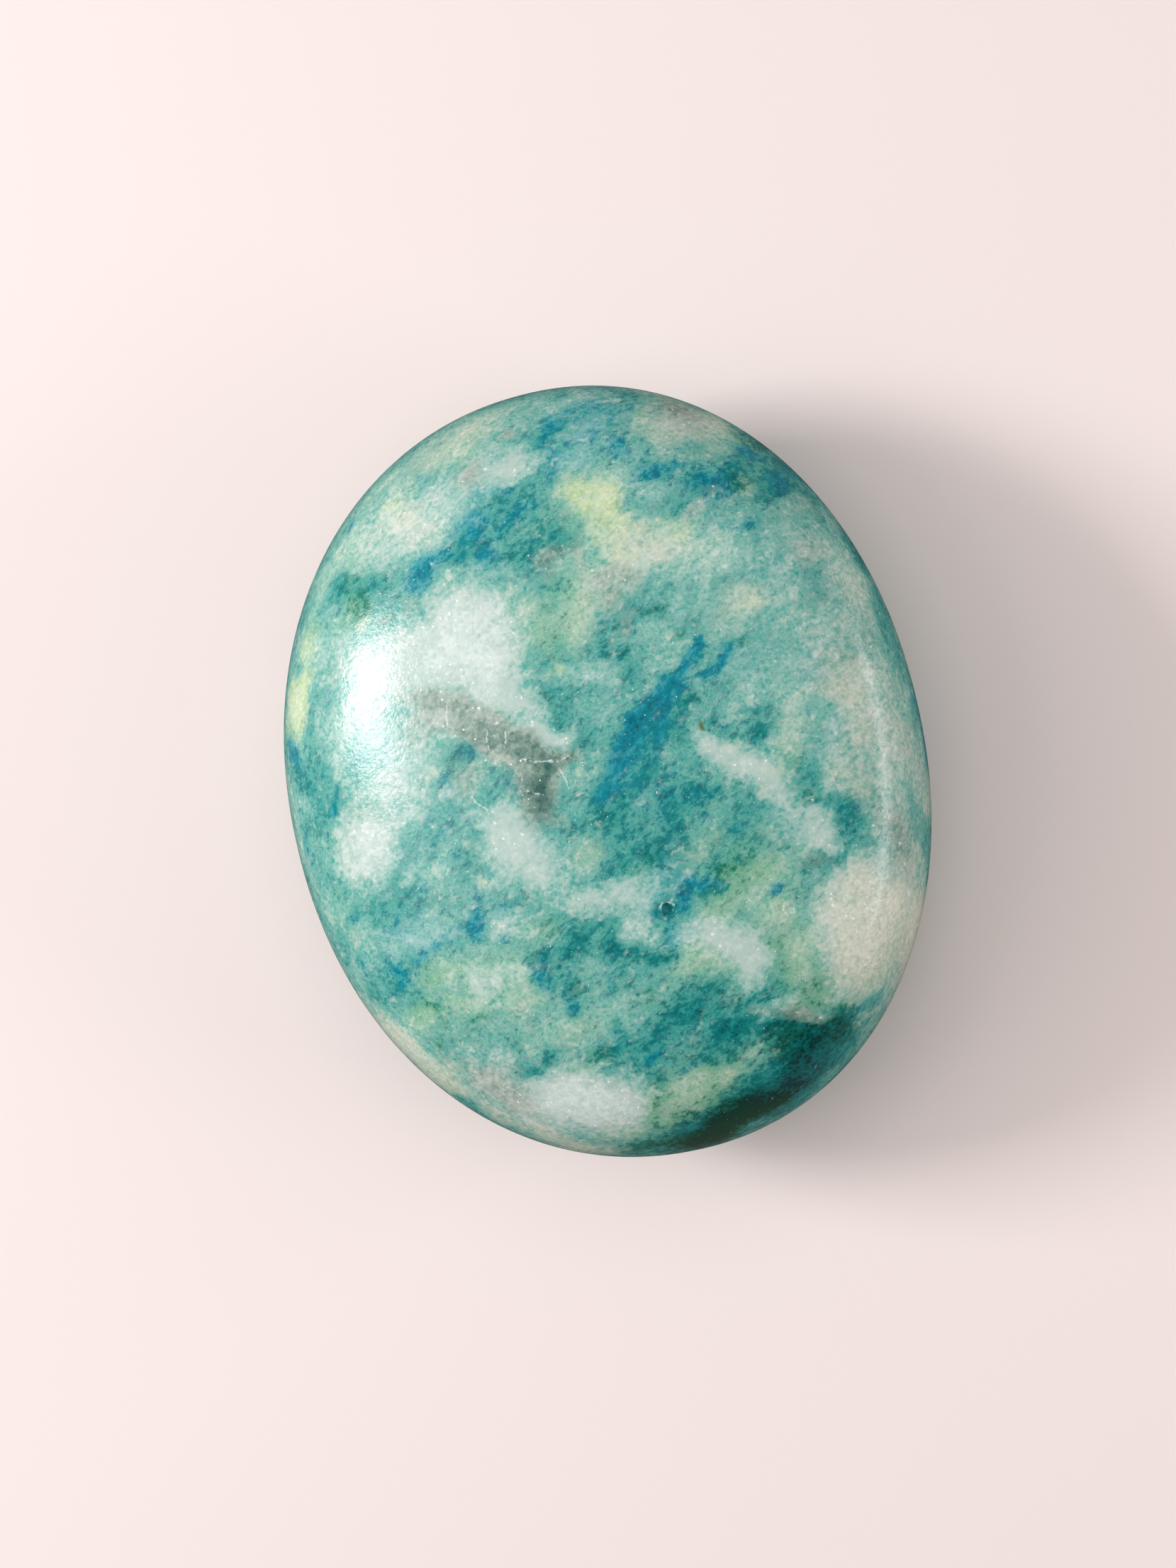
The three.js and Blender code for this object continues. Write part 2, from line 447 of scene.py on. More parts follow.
# %% Make noise in space
def lattice_noise(points, cell_mm, seed):
    """Noise from -1 to 1: each corner of a lattice of cubes holds a random number, and a point
    takes the eight corners of its cube, each weighted by an ease of the point's place in it."""
    random = np.random.default_rng(seed)
    shuffle, value = random.permutation(256), random.uniform(-1, 1, 256)
    place = points / cell_mm + random.uniform(0, 256, 3)
    cube = np.floor(place).astype(int)
    share = place - cube
    ease = share * share * (3 - 2 * share)
    total = np.zeros(len(points))
    for corner in np.ndindex(2, 2, 2):
        i, j, k = ((cube + corner) & 255).T
        weight = np.prod(np.where(corner, ease, 1 - ease), axis=1)
        total += weight * value[shuffle[(shuffle[(shuffle[i] + j) & 255] + k) & 255]]
    return total


OCTAVES_SPREAD = 1.3  # how far the sum of the octaves reaches


def cloudy_noise(points, cell_mm, seed, octaves):
    """Lattice noise summed over octaves, each half the size and half the height of the last, and
    divided so that it spreads over about -1 to 1."""
    total = sum(lattice_noise(points, cell_mm / 2**n, seed + n) / 2**n for n in range(octaves))
    return total / OCTAVES_SPREAD


WANDER_MM, BEND_MM = 0.5, 1.8  # how far outlines are bent, and the size of the largest bend
wander = np.stack([cloudy_noise(points, BEND_MM, seed, 4) for seed in (11, 21, 31)], axis=1)
bent = points + WANDER_MM * wander
print("the noise spreads over", np.round([wander.min(), wander.max()], 2))

# %% [markdown]
# The clouds are ellipsoids, listed from what the face shows. A place is given in
# millimetres on the face, seen from straight above. A cloud's lean is counted from +X towards +Y.
# Large clouds come with small ones inside them, as a patch of quartz is paler in its middle.
# Most clouds are the rock's own minerals; a few, marked in the lists, are painted highlight haze,
# painted reflection haze and painted shade.

# %% List the clouds of the face
CHANNELS = ("pale", "quartz", "blue", "green", "yellow", "cream", "smoke", "rust")
MINERALS = {  # what each adds to the values
    "white": {"quartz": 1.0, "pale": 0.12},
    "ivory": {"quartz": 1.0, "pale": 0.3, "cream": 0.8},
    "milky": {"pale": 0.26},
    "sage": {"green": 0.6, "cream": 0.5, "pale": 0.13},
    "green": {"green": 1.0, "pale": 0.02},
    "moss": {"green": 0.9, "pale": -0.28},
    "yellow": {"yellow": 1.0, "pale": 0.16},
    "cream": {"cream": 1.0, "pale": 0.12},
    "smoky": {"smoke": 1.0, "pale": -0.1},
    # dark smoky quartz, and in three rows painted shade beside cracks
    "dark_smoke_and_shade": {"smoke": 1.0, "pale": -0.3},
    "blue": {"blue": 1.0, "pale": -0.14},
    "haze": {"blue": 0.75, "pale": 0.06},
    "dark": {"pale": -0.26},
    "grey": {"smoke": 0.6, "pale": 0.04},
    "rust": {"rust": 1.0, "pale": -0.1},
}
# For each mineral: x, y, long radius, short radius, lean, strength
CLOUDS = {
    "white": [
        (-4.7, 5.6, 0.9, 0.25, -35, 0.6), (-6.6, 7.2, 0.8, 0.25, -10, 0.5),
        # The rows at (-14.5, 12.6), (-16.6, 4.6), (-12.6, 2.4) and (-11.6, 5.8) lay white around the
        # window highlight: partly the rock's white quartz, partly painted highlight haze.
        (-3.9, 3.9, 0.9, 0.25, -60, 0.5), (-14.5, 12.6, 2, 0.9, 30, 0.3),
        (-16.6, 4.6, 1.8, 0.9, 85, 0.25), (-12.6, 2.4, 2.4, 1.3, 80, 0.35),
        (-11.6, 5.8, 1.4, 0.8, 60, 0.35), (-8.6, 8.6, 1.4, 0.8, 20, 0.4), (-15, -1.6, 1.6, 1, 80, 0.3),
        (-10.6, -1.4, 1.2, 0.5, 40, 0.3), (-9, 0.6, 1, 0.4, 60, 0.3), (8.9, 2.9, 0.2, 0.16, 0, 1.2),
        (-2.3, 4, 1, 0.4, -38, 0.7), (-0.3, 2.5, 0.8, 0.3, -20, 0.6), (-6.6, 14.4, 2, 0.8, 10, 0.2),
        (2.6, -8, 1.2, 0.8, 0, 0.35), (9.5, -17.4, 1.3, 0.4, 8, 0.55), (8.3, -18.3, 0.7, 0.3, 0, 0.5),
        (10.6, -18.5, 0.7, 0.3, 0, 0.5), (-1.2, 3.2, 1.3, 0.6, -15, 0.5),
        (-9.7, -22.4, 0.9, 0.5, -40, 0.5), (-12.3, -18.4, 0.8, 0.4, -30, 0.4),
        (-4.9, 10.6, 3.3, 3, 70, 1), (-9.6, 10.4, 3.6, 2.2, 0, 1), (-3.4, 7.4, 2, 1.5, -55, 0.95),
        (-2.3, 5.7, 1.4, 1, -50, 0.7), (-4.8, 13.2, 2, 0.9, 0, 0.65), (-0.7, 22, 2, 1.2, 8, 1.1),
        (-9, 22.3, 0.8, 0.5, 10, 0.6), (-5, -3.7, 2.2, 1.7, 70, 0.95), (-3.6, -5.2, 1.6, 1.2, -30, 0.55),
        (-5.6, -1.8, 1.5, 0.9, -30, 0.55), (0.8, -8.6, 2.2, 1, -8, 0.75), (-1.4, -8, 1.4, 0.7, 0, 0.5),
        (1.8, -10.7, 1.2, 0.8, 0, 0.5), (9, 0.4, 1.1, 0.8, -45, 0.75), (10.4, -1.1, 1.6, 0.95, -45, 1),
        (12, -2.6, 1.5, 0.95, -48, 1), (12.9, -4.2, 1, 0.6, -60, 0.65), (14.2, -6.4, 1.8, 1.1, -62, 0.75),
        (15.2, -7.9, 0.8, 0.6, -50, 0.5), (7, -12.4, 2.1, 1.1, -32, 1), (8.3, -14.4, 1.3, 1.1, -75, 0.9),
        (8, -15.8, 0.7, 0.5, 0, 0.5), (-6, -21.6, 4, 2, 0, 1), (-7.6, -20.4, 2.4, 1.2, 0, 0.8),
        (-3.4, -22.6, 1.8, 1.6, 0, 0.85), (-16, -1.4, 2.2, 1.8, 95, 1), (-14.6, 0.1, 1.4, 1, 10, 0.7),
        (-12.5, -3.9, 1.5, 0.6, 5, 0.6), (-9.6, -12.2, 1.4, 0.8, -70, 0.75),
        (-8.4, -11.6, 0.9, 0.6, 0, 0.5), (-6.8, -8.6, 1.1, 0.9, 0, 0.55),
        (-1.9, 3.5, 0.9, 0.5, -20, 0.95), (-0.7, 2.9, 1, 0.4, -20, 0.65), (-2.5, 1, 0.6, 0.5, 0, 0.5),
        (-9.9, -17.2, 0.8, 0.5, 0, 0.65), (-3.1, 14.9, 1.6, 0.8, 0, 0.3),
    ],
    "ivory": [
        (-8, 19.6, 2.6, 1.6, 10, 0.35), (17, -3, 2.6, 1.6, 90, 0.22), (20, -2.6, 2.6, 1, 92, 0.3),
        (20, -15.8, 2, 0.8, 62, 0.4), (19.6, -15.4, 2.2, 1, 62, 0.8), (17.6, -18, 1.7, 0.7, 52, 0.6),
        (19.9, -11.2, 2, 1, 85, 0.3), (16, -13.2, 3.2, 2.4, 70, 1), (15.2, -16.2, 2.2, 1.6, 60, 0.8),
        (18.6, -13.2, 3, 1.5, 75, 0.85), (17.2, -10.2, 1.4, 1, 60, 0.6),
    ],
    "milky": [
        # The rows at (-12.4, 3) and (-14.6, 12.6) here, and at (-11.5, 4) further down, pale the rock
        # below and above the window highlight: partly milky quartz, partly painted highlight haze.
        (-12.4, 3, 3, 1.5, 85, 0.5), (-11.2, 1.2, 1.6, 1, 60, 0.3), (-14.6, 12.6, 1.6, 1, 20, 0.4),
        (-5.5, -21.4, 2.8, 1.4, 0, 0.35), (-12.8, -8, 2, 1, 0, 0.3), (14.6, 20.6, 1.2, 0.6, -30, 0.3),
        (-7.6, 19.4, 3.4, 2.2, 10, 0.6), (-4.4, 20.6, 2.4, 1.4, 20, 0.5), (12, 18.6, 1.4, 0.6, -20, 0.3),
        (-15.5, 17, 2, 0.8, 60, 0.4), (21.6, -3, 3, 0.7, 95, 0.4), (-17.4, -14.6, 2.4, 0.7, 125, 0.4),
        (-19.6, 9.2, 1.4, 0.7, 72, 0.4), (11, -3.4, 1.6, 0.8, -40, 0.3), (-3.2, 4.6, 1.2, 0.6, -30, 0.4),
        (-5, 10.4, 3.2, 2.6, 70, 0.8), (-5, -3.7, 2, 1.6, 70, 0.2), (-5.5, -21.6, 3.4, 1.8, 0, 0.35),
        (-16.8, -15.4, 2.6, 0.8, 125, 0.6), (-19, 9.3, 1.6, 1, 72, 0.5), (-16, -1.4, 2, 1.7, 90, 0.2),
        (-4.6, 15.4, 2.4, 0.8, 10, 0.3), (12.6, 21.2, 2.6, 1.6, -35, 0.3), (-7.5, 17.6, 2.4, 1, 10, 0.25),
        (-6.5, 11, 4, 2.8, 10, 0.5), (-11.5, 4, 3.2, 2.6, 0, 0.3), (-16.2, 13, 2.6, 1.6, 75, 0.6),
        (-17.5, -6, 4.6, 2.4, 70, 0.3), (-16, -1.2, 2.4, 2, 90, 0.4), (-6, -21.4, 3.6, 1.8, 0, 0.4),
        (-17.5, 6, 2.4, 1.6, 90, 0.35), (4, 25, 6, 1.4, 0, 0.5), (-11, 22, 4, 1, 35, 0.2),
        (-20.5, -3, 6, 0.8, 95, 0.25), (-16.2, 7.6, 1.8, 1.2, 90, 0.7), (-19.8, 2.2, 0.8, 0.7, 0, 0.7),
        (6.9, 19.5, 1.4, 0.9, 0, 0.6), (13, 12.6, 1.3, 0.9, 10, 0.7), (16.2, 13.1, 1.6, 1.4, 0, 0.45),
        (10.3, 9.5, 1.3, 0.9, 10, 0.6), (7, 8.8, 1.1, 0.8, 10, 0.55), (12.1, 4.8, 0.8, 0.6, 0, 0.5),
        (12.8, 3.2, 0.9, 0.8, 0, 0.5), (15.4, 2.2, 1.4, 1.3, 60, 0.4), (4.1, 21, 1.1, 0.8, 0, 0.4),
        (-5, 19.8, 1, 1.2, 90, 0.5), (-13.5, -7.5, 1.9, 0.9, 0, 0.4), (-11.2, -4.7, 1.2, 0.7, 0, 0.5),
        (-1.3, -15.6, 1, 0.7, 10, 0.6), (-0.2, -17.2, 1, 0.6, 10, 0.4), (1.8, -10.7, 1.3, 0.9, 0, 0.8),
        (1.8, -18.9, 0.7, 0.4, 0, 0.6), (9.6, 17.6, 1.3, 0.6, 0, 0.6), (8.4, 13.4, 2.4, 0.9, 0, 0.3),
        (2.4, 6.6, 1.8, 1, 10, 0.7), (3, 4.4, 1.6, 1, 10, 0.3), (-10.5, 19, 3, 1.8, 15, 0.4),
        (3.8, -19.5, 1.3, 0.7, 0, 0.35), (-14, -8.4, 1.4, 0.6, 0, 0.3), (18.5, 12, 1.6, 1.2, 0, 0.3),
        (20.5, 8.4, 1.4, 1, 95, 0.5), (-11.9, 11.9, 2.4, 1, 10, 0.6), (8.6, -4.9, 0.8, 0.5, 0, 0.3),
        (-1.7, -12.7, 1.2, 0.8, 20, 0.3), (-15.4, -11.6, 1, 0.6, 0, 0.3), (16.5, 3, 9, 4.4, 95, 0.27),
        (13, 10, 6, 4, -10, 0.3), (-13, 4, 6, 4.5, 85, 0.32), (-9.5, 20, 6, 3, 15, 0.2),
        (6.5, 15, 6, 3.6, -15, 0.35), (-9.5, -13, 4.6, 2.6, 5, 0.45), (9.5, -11.5, 4.5, 3.5, 40, 0.2),
        (-1.5, 9, 2, 4, 10, 0.2),
    ],
    "sage": [
        (-4.6, 23.8, 3, 1, 10, 0.8), (-8.6, 21.2, 1.6, 1.2, 15, 0.7), (-7.6, 19, 1.9, 1.2, 0, 0.7),
        (-11.9, 18.8, 2.2, 1.4, 35, 0.5), (9.8, 24.3, 1.4, 0.6, -20, 0.6),
        (13.4, 20.8, 1.5, 0.9, -35, 0.9), (13, 19.4, 1.2, 0.5, -10, 0.6), (14.9, 16.9, 0.8, 0.9, 0, 1),
        (9.4, 14.6, 2.2, 1.1, -15, 0.5), (2.6, 11, 1.2, 0.9, 65, 0.8), (2.3, 9.2, 1.4, 1, 65, 0.7),
        (0.4, 10, 1.2, 0.8, 80, 0.6), (14.8, 1.1, 1.7, 1.3, 75, 0.8), (14.1, -0.8, 0.9, 0.7, 0, 0.6),
        (17.3, -3.2, 0.9, 0.6, 0, 0.7), (6.1, -7, 0.9, 0.5, 0, 0.7), (8, -6.1, 1.2, 0.6, 0, 0.6),
        (11, -8.4, 1.3, 0.9, 10, 0.6), (10.6, -12.2, 1.4, 1.1, 60, 0.7), (11.4, -15, 1.8, 1.5, 70, 0.7),
        (7.6, -10.3, 1.7, 0.7, 0, 0.8), (4, -13.8, 1.3, 0.7, 10, 0.6), (-0.6, -5.2, 1.6, 1.1, 0, 0.75),
        (-11.1, -10.8, 1.4, 0.9, 0, 0.6), (-11.4, -13.2, 1.5, 0.9, 0, 0.85),
        (-6.6, -13.6, 1.6, 1, 20, 0.8), (-3.2, -16.4, 1.6, 0.8, 5, 0.7), (-5, -17.2, 1.2, 0.8, 10, 0.5),
        (-18, -7.2, 1.4, 0.9, 40, 0.7), (2.4, -21.9, 2.4, 1, 15, 0.9), (4.9, -21.6, 1.2, 0.6, 0, 0.8),
        (0.8, -23.3, 1.9, 0.8, 0, 0.8), (12.4, -17.4, 1, 0.6, 20, 0.7), (-0.7, 12.4, 1, 1.2, 90, 0.35),
        (-15.3, 17.2, 1.2, 0.6, 55, 0.6),
    ],
    "green": [
        (20.4, -9.6, 1.6, 1, 90, 0.4), (-3, -24.4, 2, 0.8, 0, 0.4), (4, 17.6, 3, 2, 0, 0.5),
        (6.5, 14.8, 3, 1.6, -10, 0.4), (2.6, 13, 1.4, 2, 80, 0.5), (0.8, 11.5, 1.6, 2, 80, 0.3),
        (11, -15.4, 2, 1.4, 60, 0.5), (9, -9.6, 2.4, 1.2, 30, 0.4), (14, -2.6, 1.6, 1.2, 60, 0.4),
        (-12.6, -15.4, 2, 1, 10, 0.4), (0, 10, 1.6, 2, 80, 0.3), (12, 20.4, 1.6, 0.8, -30, 0.4),
        (3, -6.6, 1.4, 0.8, 20, 0.3), (2.6, -21.8, 3.4, 1.6, 18, 0.6), (1.2, -23.4, 2.4, 1, 8, 0.5),
        (-17.2, 12.6, 2.2, 1.2, 75, 0.5), (-19, -6, 3, 1.4, 70, 0.4), (5.4, -13.4, 2, 1, 20, 0.4),
        (12, -17.5, 1.6, 1, 20, 0.5), (-13, 14.6, 1.6, 1, 20, 0.6), (-14.8, -13.8, 1.4, 0.9, 20, 0.9),
        (-13.2, -10.9, 1.2, 0.8, 0, 0.7), (-4.5, -9, 1.6, 0.8, 5, 0.7), (9, 23.7, 1, 0.6, 10, 0.7),
        (-16.8, 14.2, 1.2, 0.9, 85, 0.6), (-11, -12.6, 4.6, 1.9, 5, 0.5), (9.5, -11, 5.5, 3.6, 50, 0.45),
        (9.5, -5.5, 3, 2, 20, 0.25), (15.5, -1, 3, 2, 60, 0.2),
    ],
    "moss": [
        # The rows centred below y = -24 darken the foot at the bottom rim: partly the rock's own dark
        # green, partly painted shade.
        (4.6, -24.8, 2.4, 0.9, 15, 1.1), (1.8, -26, 2.4, 0.8, 5, 1.3), (8, -24.2, 1.6, 0.6, 30, 0.8),
        (12.5, -21, 2, 1.2, 40, 0.5), (9.4, -20.4, 1.6, 1, 10, 0.4), (14.4, 17.2, 0.8, 0.9, 90, 0.8),
        (11.8, -18, 1.2, 0.5, 10, 0.4), (9, -8.4, 2.4, 1.4, 30, 0.3), (12.6, -16.8, 1.4, 0.8, 30, 0.4),
        (6.6, 24.6, 1.6, 0.6, 0, 0.4), (-12.8, 14.9, 0.9, 0.6, 20, 0.6), (-13, 16.6, 1.7, 0.8, 10, 0.5),
        (-14.2, -12.7, 0.8, 0.25, 0, 1), (-14.4, -15.4, 0.6, 0.3, 0, 0.8),
        (-11, -14.5, 0.8, 0.35, 0, 0.7), (8.3, -7.8, 0.7, 0.35, 5, 1.2), (10.2, -13.9, 0.5, 0.3, 0, 0.9),
        (14.5, -4.4, 0.7, 0.5, 60, 0.9), (-4.6, -19.2, 1.3, 0.4, 5, 0.8), (-3.1, -18.4, 1.1, 0.4, 5, 0.9),
        (11.3, -11.1, 0.4, 0.3, 0, 0.6), (10.7, 0.3, 0.6, 0.3, -10, 1), (8.6, 7.9, 0.5, 0.25, 0, 0.9),
        (7.7, 9.8, 1.1, 0.3, 0, 0.9), (12.8, 6.4, 0.5, 0.25, 10, 0.8), (13.9, -18.6, 1.2, 0.5, 20, 0.7),
        (10, 16, 0.6, 0.3, 10, 0.8), (-2.3, -25.8, 2, 0.5, 0, 0.8), (15, 20.2, 1.2, 0.6, -40, 0.8),
    ],
    "yellow": [
        (-19.2, 9.4, 1.4, 0.8, 72, 0.5), (4.8, 18, 0.9, 0.7, 0, 0.5), (-1, -24.8, 1.6, 0.6, 0, 0.4),
        (6.4, 14.2, 1.6, 0.8, -10, 0.4), (13.6, 9.2, 1.2, 0.8, 10, 0.4), (-17.4, 12.2, 1.6, 1, 80, 0.4),
        (10, 15.4, 1.6, 0.8, -10, 0.3), (5.2, 18.2, 1.3, 1, 0, 1.3), (4.6, 18.8, 2, 1.4, 0, 0.5),
        (3.6, 19.4, 1.1, 0.8, 10, 0.5), (5.6, 15.8, 1.5, 1, 90, 0.6), (6.6, 16.6, 1.6, 1, 0, 0.35),
        (-19.2, 9.3, 1.8, 1.1, 72, 1.2), (-17.6, 10.9, 0.9, 0.6, 60, 0.7),
        (-17.6, 13.1, 0.9, 0.8, 90, 0.6), (0.6, 7.7, 0.6, 0.5, 10, 0.9), (-9.2, 21.2, 1, 0.8, 10, 0.5),
        (9.8, 14.7, 1.4, 0.7, -10, 0.45), (13.2, -2.4, 0.35, 0.3, 0, 0.8),
    ],
    "cream": [
        (-4, -24.2, 2, 0.8, 0, 0.5), (2, -24.6, 1.4, 0.6, 0, 0.5), (16.4, -15.4, 2, 1.6, 60, 0.3),
        (11.8, -3.6, 1.4, 0.6, -45, 0.3), (18.4, -4.6, 2.4, 1.4, 95, 0.4), (15.6, -16.4, 2, 1.4, 60, 0.5),
        (12.2, -21.4, 2.2, 0.5, 35, 0.3), (-6.4, 24, 2, 1, 20, 0.5), (17.6, -17, 2, 1, 60, 0.5),
        (20.6, -1, 2.4, 0.7, 92, 0.5), (-14.6, -18.6, 2.2, 0.6, -42, 1),
        (-11.4, -21.7, 2.2, 0.6, -35, 0.9), (-6, -25.3, 2.4, 0.5, -12, 0.8),
        (12.4, 22.6, 2.4, 0.6, -38, 0.8), (19.6, -15.2, 2.2, 0.8, 62, 0.5), (-21.4, 4, 4, 0.4, 92, 0.3),
        (-2.2, 25.3, 1.8, 0.6, 10, 0.8), (6.2, 15.2, 1.4, 1.2, 0, 0.7), (7.6, 13.9, 2, 0.9, -10, 0.8),
        (9, 13.6, 2, 0.8, 0, 0.5), (11.8, 7.9, 1.2, 0.8, 10, 0.6), (13.7, 9.3, 1.4, 1, 10, 0.9),
        (18.9, 2.4, 1.6, 1.4, 80, 1), (19.1, 0.8, 1.2, 1, 90, 0.6), (19, -1.2, 1, 0.9, 60, 0.8),
        (17.3, 2, 0.8, 0.7, 0, 0.5), (22.1, -6.8, 1.6, 0.6, 90, 0.9), (20.6, 8.4, 1.4, 0.9, 100, 0.7),
        (21.5, -2, 4, 0.8, 92, 0.4), (-17, -15.6, 3.6, 0.9, 125, 1.5), (-14.3, -17.1, 1.2, 0.8, -40, 0.8),
        (-8.9, -22.9, 1.4, 0.5, -40, 0.8), (-8.3, -24.2, 1.6, 0.6, -25, 0.9),
        (10.3, 22, 2, 1.3, -25, 0.7), (5.5, 12.4, 1.9, 1.2, 10, 0.5), (4, 11.2, 1.4, 1, 60, 0.5),
        (11.7, -11.5, 1, 0.8, 0, 0.6), (14.5, -20.5, 1.6, 0.4, 60, 0.6), (16.8, -16.6, 1.4, 1, 60, 0.4),
    ],
    "smoky": [
        (-1.6, 0.6, 1.2, 0.8, 60, 0.5), (-7.4, 5.4, 2.4, 1, -30, 0.6), (-4.4, 3, 2, 1, -40, 0.5),
        (-6.8, 6, 2.8, 1.1, -32, 0.5), (-3.4, 2.4, 2.2, 1.5, -50, 0.4), (-8.6, 7.6, 1.8, 0.6, -5, 0.8),
        (-7.7, 6.3, 1.2, 0.9, 80, 0.8), (-6, 5.8, 1.7, 1, -30, 1), (-4.7, 4.3, 1.5, 1, -40, 1),
        (-10, 5.2, 0.9, 0.9, 0, 0.4), (5.6, 12.7, 2, 1, 10, 0.8), (10.9, 22.6, 2, 1, -35, 0.8),
        (11.5, 15.7, 0.9, 0.6, 0, 0.8), (-3.4, 21.8, 1.1, 0.8, 40, 1), (-0.3, 24.1, 0.8, 0.5, 0, 1.1),
        (-11, 13.8, 0.9, 0.4, 10, 0.9), (-8.8, 14.3, 0.8, 0.5, 0, 0.6), (3.4, 13.9, 1, 0.6, 85, 0.7),
        (-7.9, -14.4, 0.9, 0.8, 0, 0.6), (9.9, -18.3, 1.3, 0.5, 0, 0.9), (8.1, -17.6, 0.8, 0.45, 0, 0.8),
        (-11.6, -19.1, 1.4, 0.8, -25, 0.9), (-10.4, -20.6, 1.2, 0.6, -30, 0.7),
        (5.2, -13.6, 1, 0.6, 0, 0.6), (2.9, -18.4, 1, 0.5, 0, 0.6), (-7, 1.5, 1.3, 1, 60, 0.7),
        (18.4, 11.5, 1.3, 0.9, 0, 0.6), (19.8, -8.2, 1.8, 0.9, 100, 0.7),
        (19.7, -10.6, 1.7, 0.7, 95, 0.5), (21.6, -4, 3, 0.6, 95, 0.4), (18.4, 14.6, 1.4, 0.7, -50, 0.5),
        (20, 13, 1.4, 0.6, -60, 0.5), (12, -6, 0.5, 0.3, 0, 0.7), (-7.7, -3.2, 0.8, 0.5, 85, 0.5),
        (10.5, -18.9, 1.2, 0.6, 0, 0.5),
    ],
    "dark_smoke_and_shade": [
        # The first three rows are thin dark strips along the light hairlines: painted shade of the crack
        # faces. The other rows are dark smoky quartz.
        (-3.6, 2.9, 0.7, 0.25, -60, 0.6), (-6.3, 4.6, 0.9, 0.25, -60, 0.5),
        (-1.7, 0.3, 0.8, 0.3, 75, 0.5), (-2.4, -0.4, 1.6, 0.9, 80, 0.5), (-1, 1.6, 1.4, 0.5, 20, 0.4),
        (-6.8, 4.6, 1.2, 0.5, -35, 0.4), (-2.9, 0.8, 3, 2, 76, 0.5), (-3.3, 21.7, 0.9, 0.6, 50, 0.35),
        (3.7, 15.4, 1.1, 0.5, 80, 0.45), (-3.1, 3, 1.4, 0.9, -35, 0.6), (-2.7, 0.3, 0.9, 0.7, 0, 0.6),
        (-2.9, -1.1, 1.3, 0.8, 85, 0.6), (-4.9, 3.6, 1.3, 0.7, -40, 0.6), (-1.9, -0.2, 1.2, 0.9, 60, 0.6),
        (-1.2, 1.4, 1.3, 0.6, 10, 0.7), (0.3, 1.8, 1, 0.5, 0, 0.7), (5.6, 9.6, 1, 0.5, 70, 0.9),
        (5.2, 11, 0.6, 0.5, 0, 0.7), (1.8, 15.5, 1.3, 0.6, 15, 0.8), (1.1, 14.3, 1, 0.8, 60, 0.5),
        (-5.4, -11.4, 0.6, 0.5, 90, 0.6), (10.7, -18.8, 0.9, 0.5, 0, 0.9),
        (12.1, -19.4, 0.9, 0.5, 10, 0.8), (-1.7, -2.5, 0.7, 0.5, 0, 0.7), (-3.4, -13.8, 0.5, 0.5, 0, 0.6),
        (12.6, 16.7, 0.8, 0.35, 0, 0.8), (14.2, -8.9, 1.1, 0.5, 0, 0.8), (-7.2, -15.6, 0.6, 0.4, 0, 0.6),
        (11, 23.3, 1.2, 0.4, -35, 0.7),
    ],
    "blue": [
        (5.6, 2.8, 2.6, 0.9, 42, 0.4), (3.2, 0.2, 2, 0.8, 52, 0.35), (7.6, 4.4, 1.6, 0.6, 38, 0.4),
        (4.4, 1.8, 1.2, 0.5, 45, 0.4), (3, 23.8, 0.7, 0.5, 0, 1.1), (4.1, 25, 0.5, 0.4, 90, 0.9),
        (3.6, 26, 0.8, 0.3, 0, 0.7), (5.3, 22.7, 0.7, 0.5, 10, 1), (6.9, 23.1, 0.6, 0.25, 85, 0.9),
        (7.2, 21.3, 0.8, 0.6, -80, 1.1), (1.9, 23, 0.9, 0.5, 10, 0.5), (6, 24.6, 1.2, 0.6, 0, 0.4),
        (-2.7, 16, 0.7, 0.5, 10, 1.1), (-3.7, 18, 0.9, 0.7, 50, 0.7), (-1.4, 17.6, 1.2, 0.4, 35, 0.7),
        (0.8, 18.4, 0.9, 0.4, 15, 0.6), (-2.2, 20.5, 1, 0.4, 0, 0.6), (-0.4, 20.1, 0.4, 0.4, 0, 0.7),
        (-4.9, 16.4, 0.8, 0.4, 10, 0.6), (-6.5, 16.8, 1.2, 0.6, 5, 0.8), (-7.8, 15.5, 1, 0.8, 0, 1.2),
        (-7.2, 16.4, 0.8, 0.6, 0, 0.9), (-12.7, 20.8, 1, 0.4, 55, 0.8), (8.8, 19, 1, 0.5, -10, 0.8),
        (10.4, 19.2, 1, 0.5, -15, 0.6), (13, 17.4, 1.4, 0.8, -15, 0.75), (15.2, 19, 0.7, 0.5, -35, 1.1),
        (14.3, 18.6, 0.5, 0.3, 0, 0.8), (17, 16.7, 1, 0.6, -65, 1.2), (17.5, 17.6, 1, 0.5, -50, 0.9),
        (13.9, 14.3, 1.2, 0.4, 0, 0.7), (14.8, 13.8, 0.8, 0.6, 0, 0.5), (16.4, 11.2, 1.2, 0.6, 0, 0.4),
        (18.7, 9.6, 0.6, 0.35, 0, 0.3), (17.5, 9.2, 1, 0.8, 80, 0.3), (17.2, 3.2, 1.1, 0.5, 0, 0.6),
        (-20.3, 6.2, 1.3, 0.6, 95, 1.1), (-17.7, 2.1, 0.4, 0.4, 0, 1.1), (-17.4, 3, 0.9, 0.25, 75, 0.7),
        (-16.3, 9.4, 0.9, 0.3, 70, 0.5), (-20.6, -0.8, 1.5, 0.4, 90, 0.7), (-6.8, 3.4, 1.2, 0.6, 5, 0.8),
        (-8.7, 1.9, 0.7, 0.5, 0, 0.9), (-4.6, 0.8, 0.8, 0.6, 0, 0.7), (-4, 0.1, 0.35, 0.3, 0, 0.9),
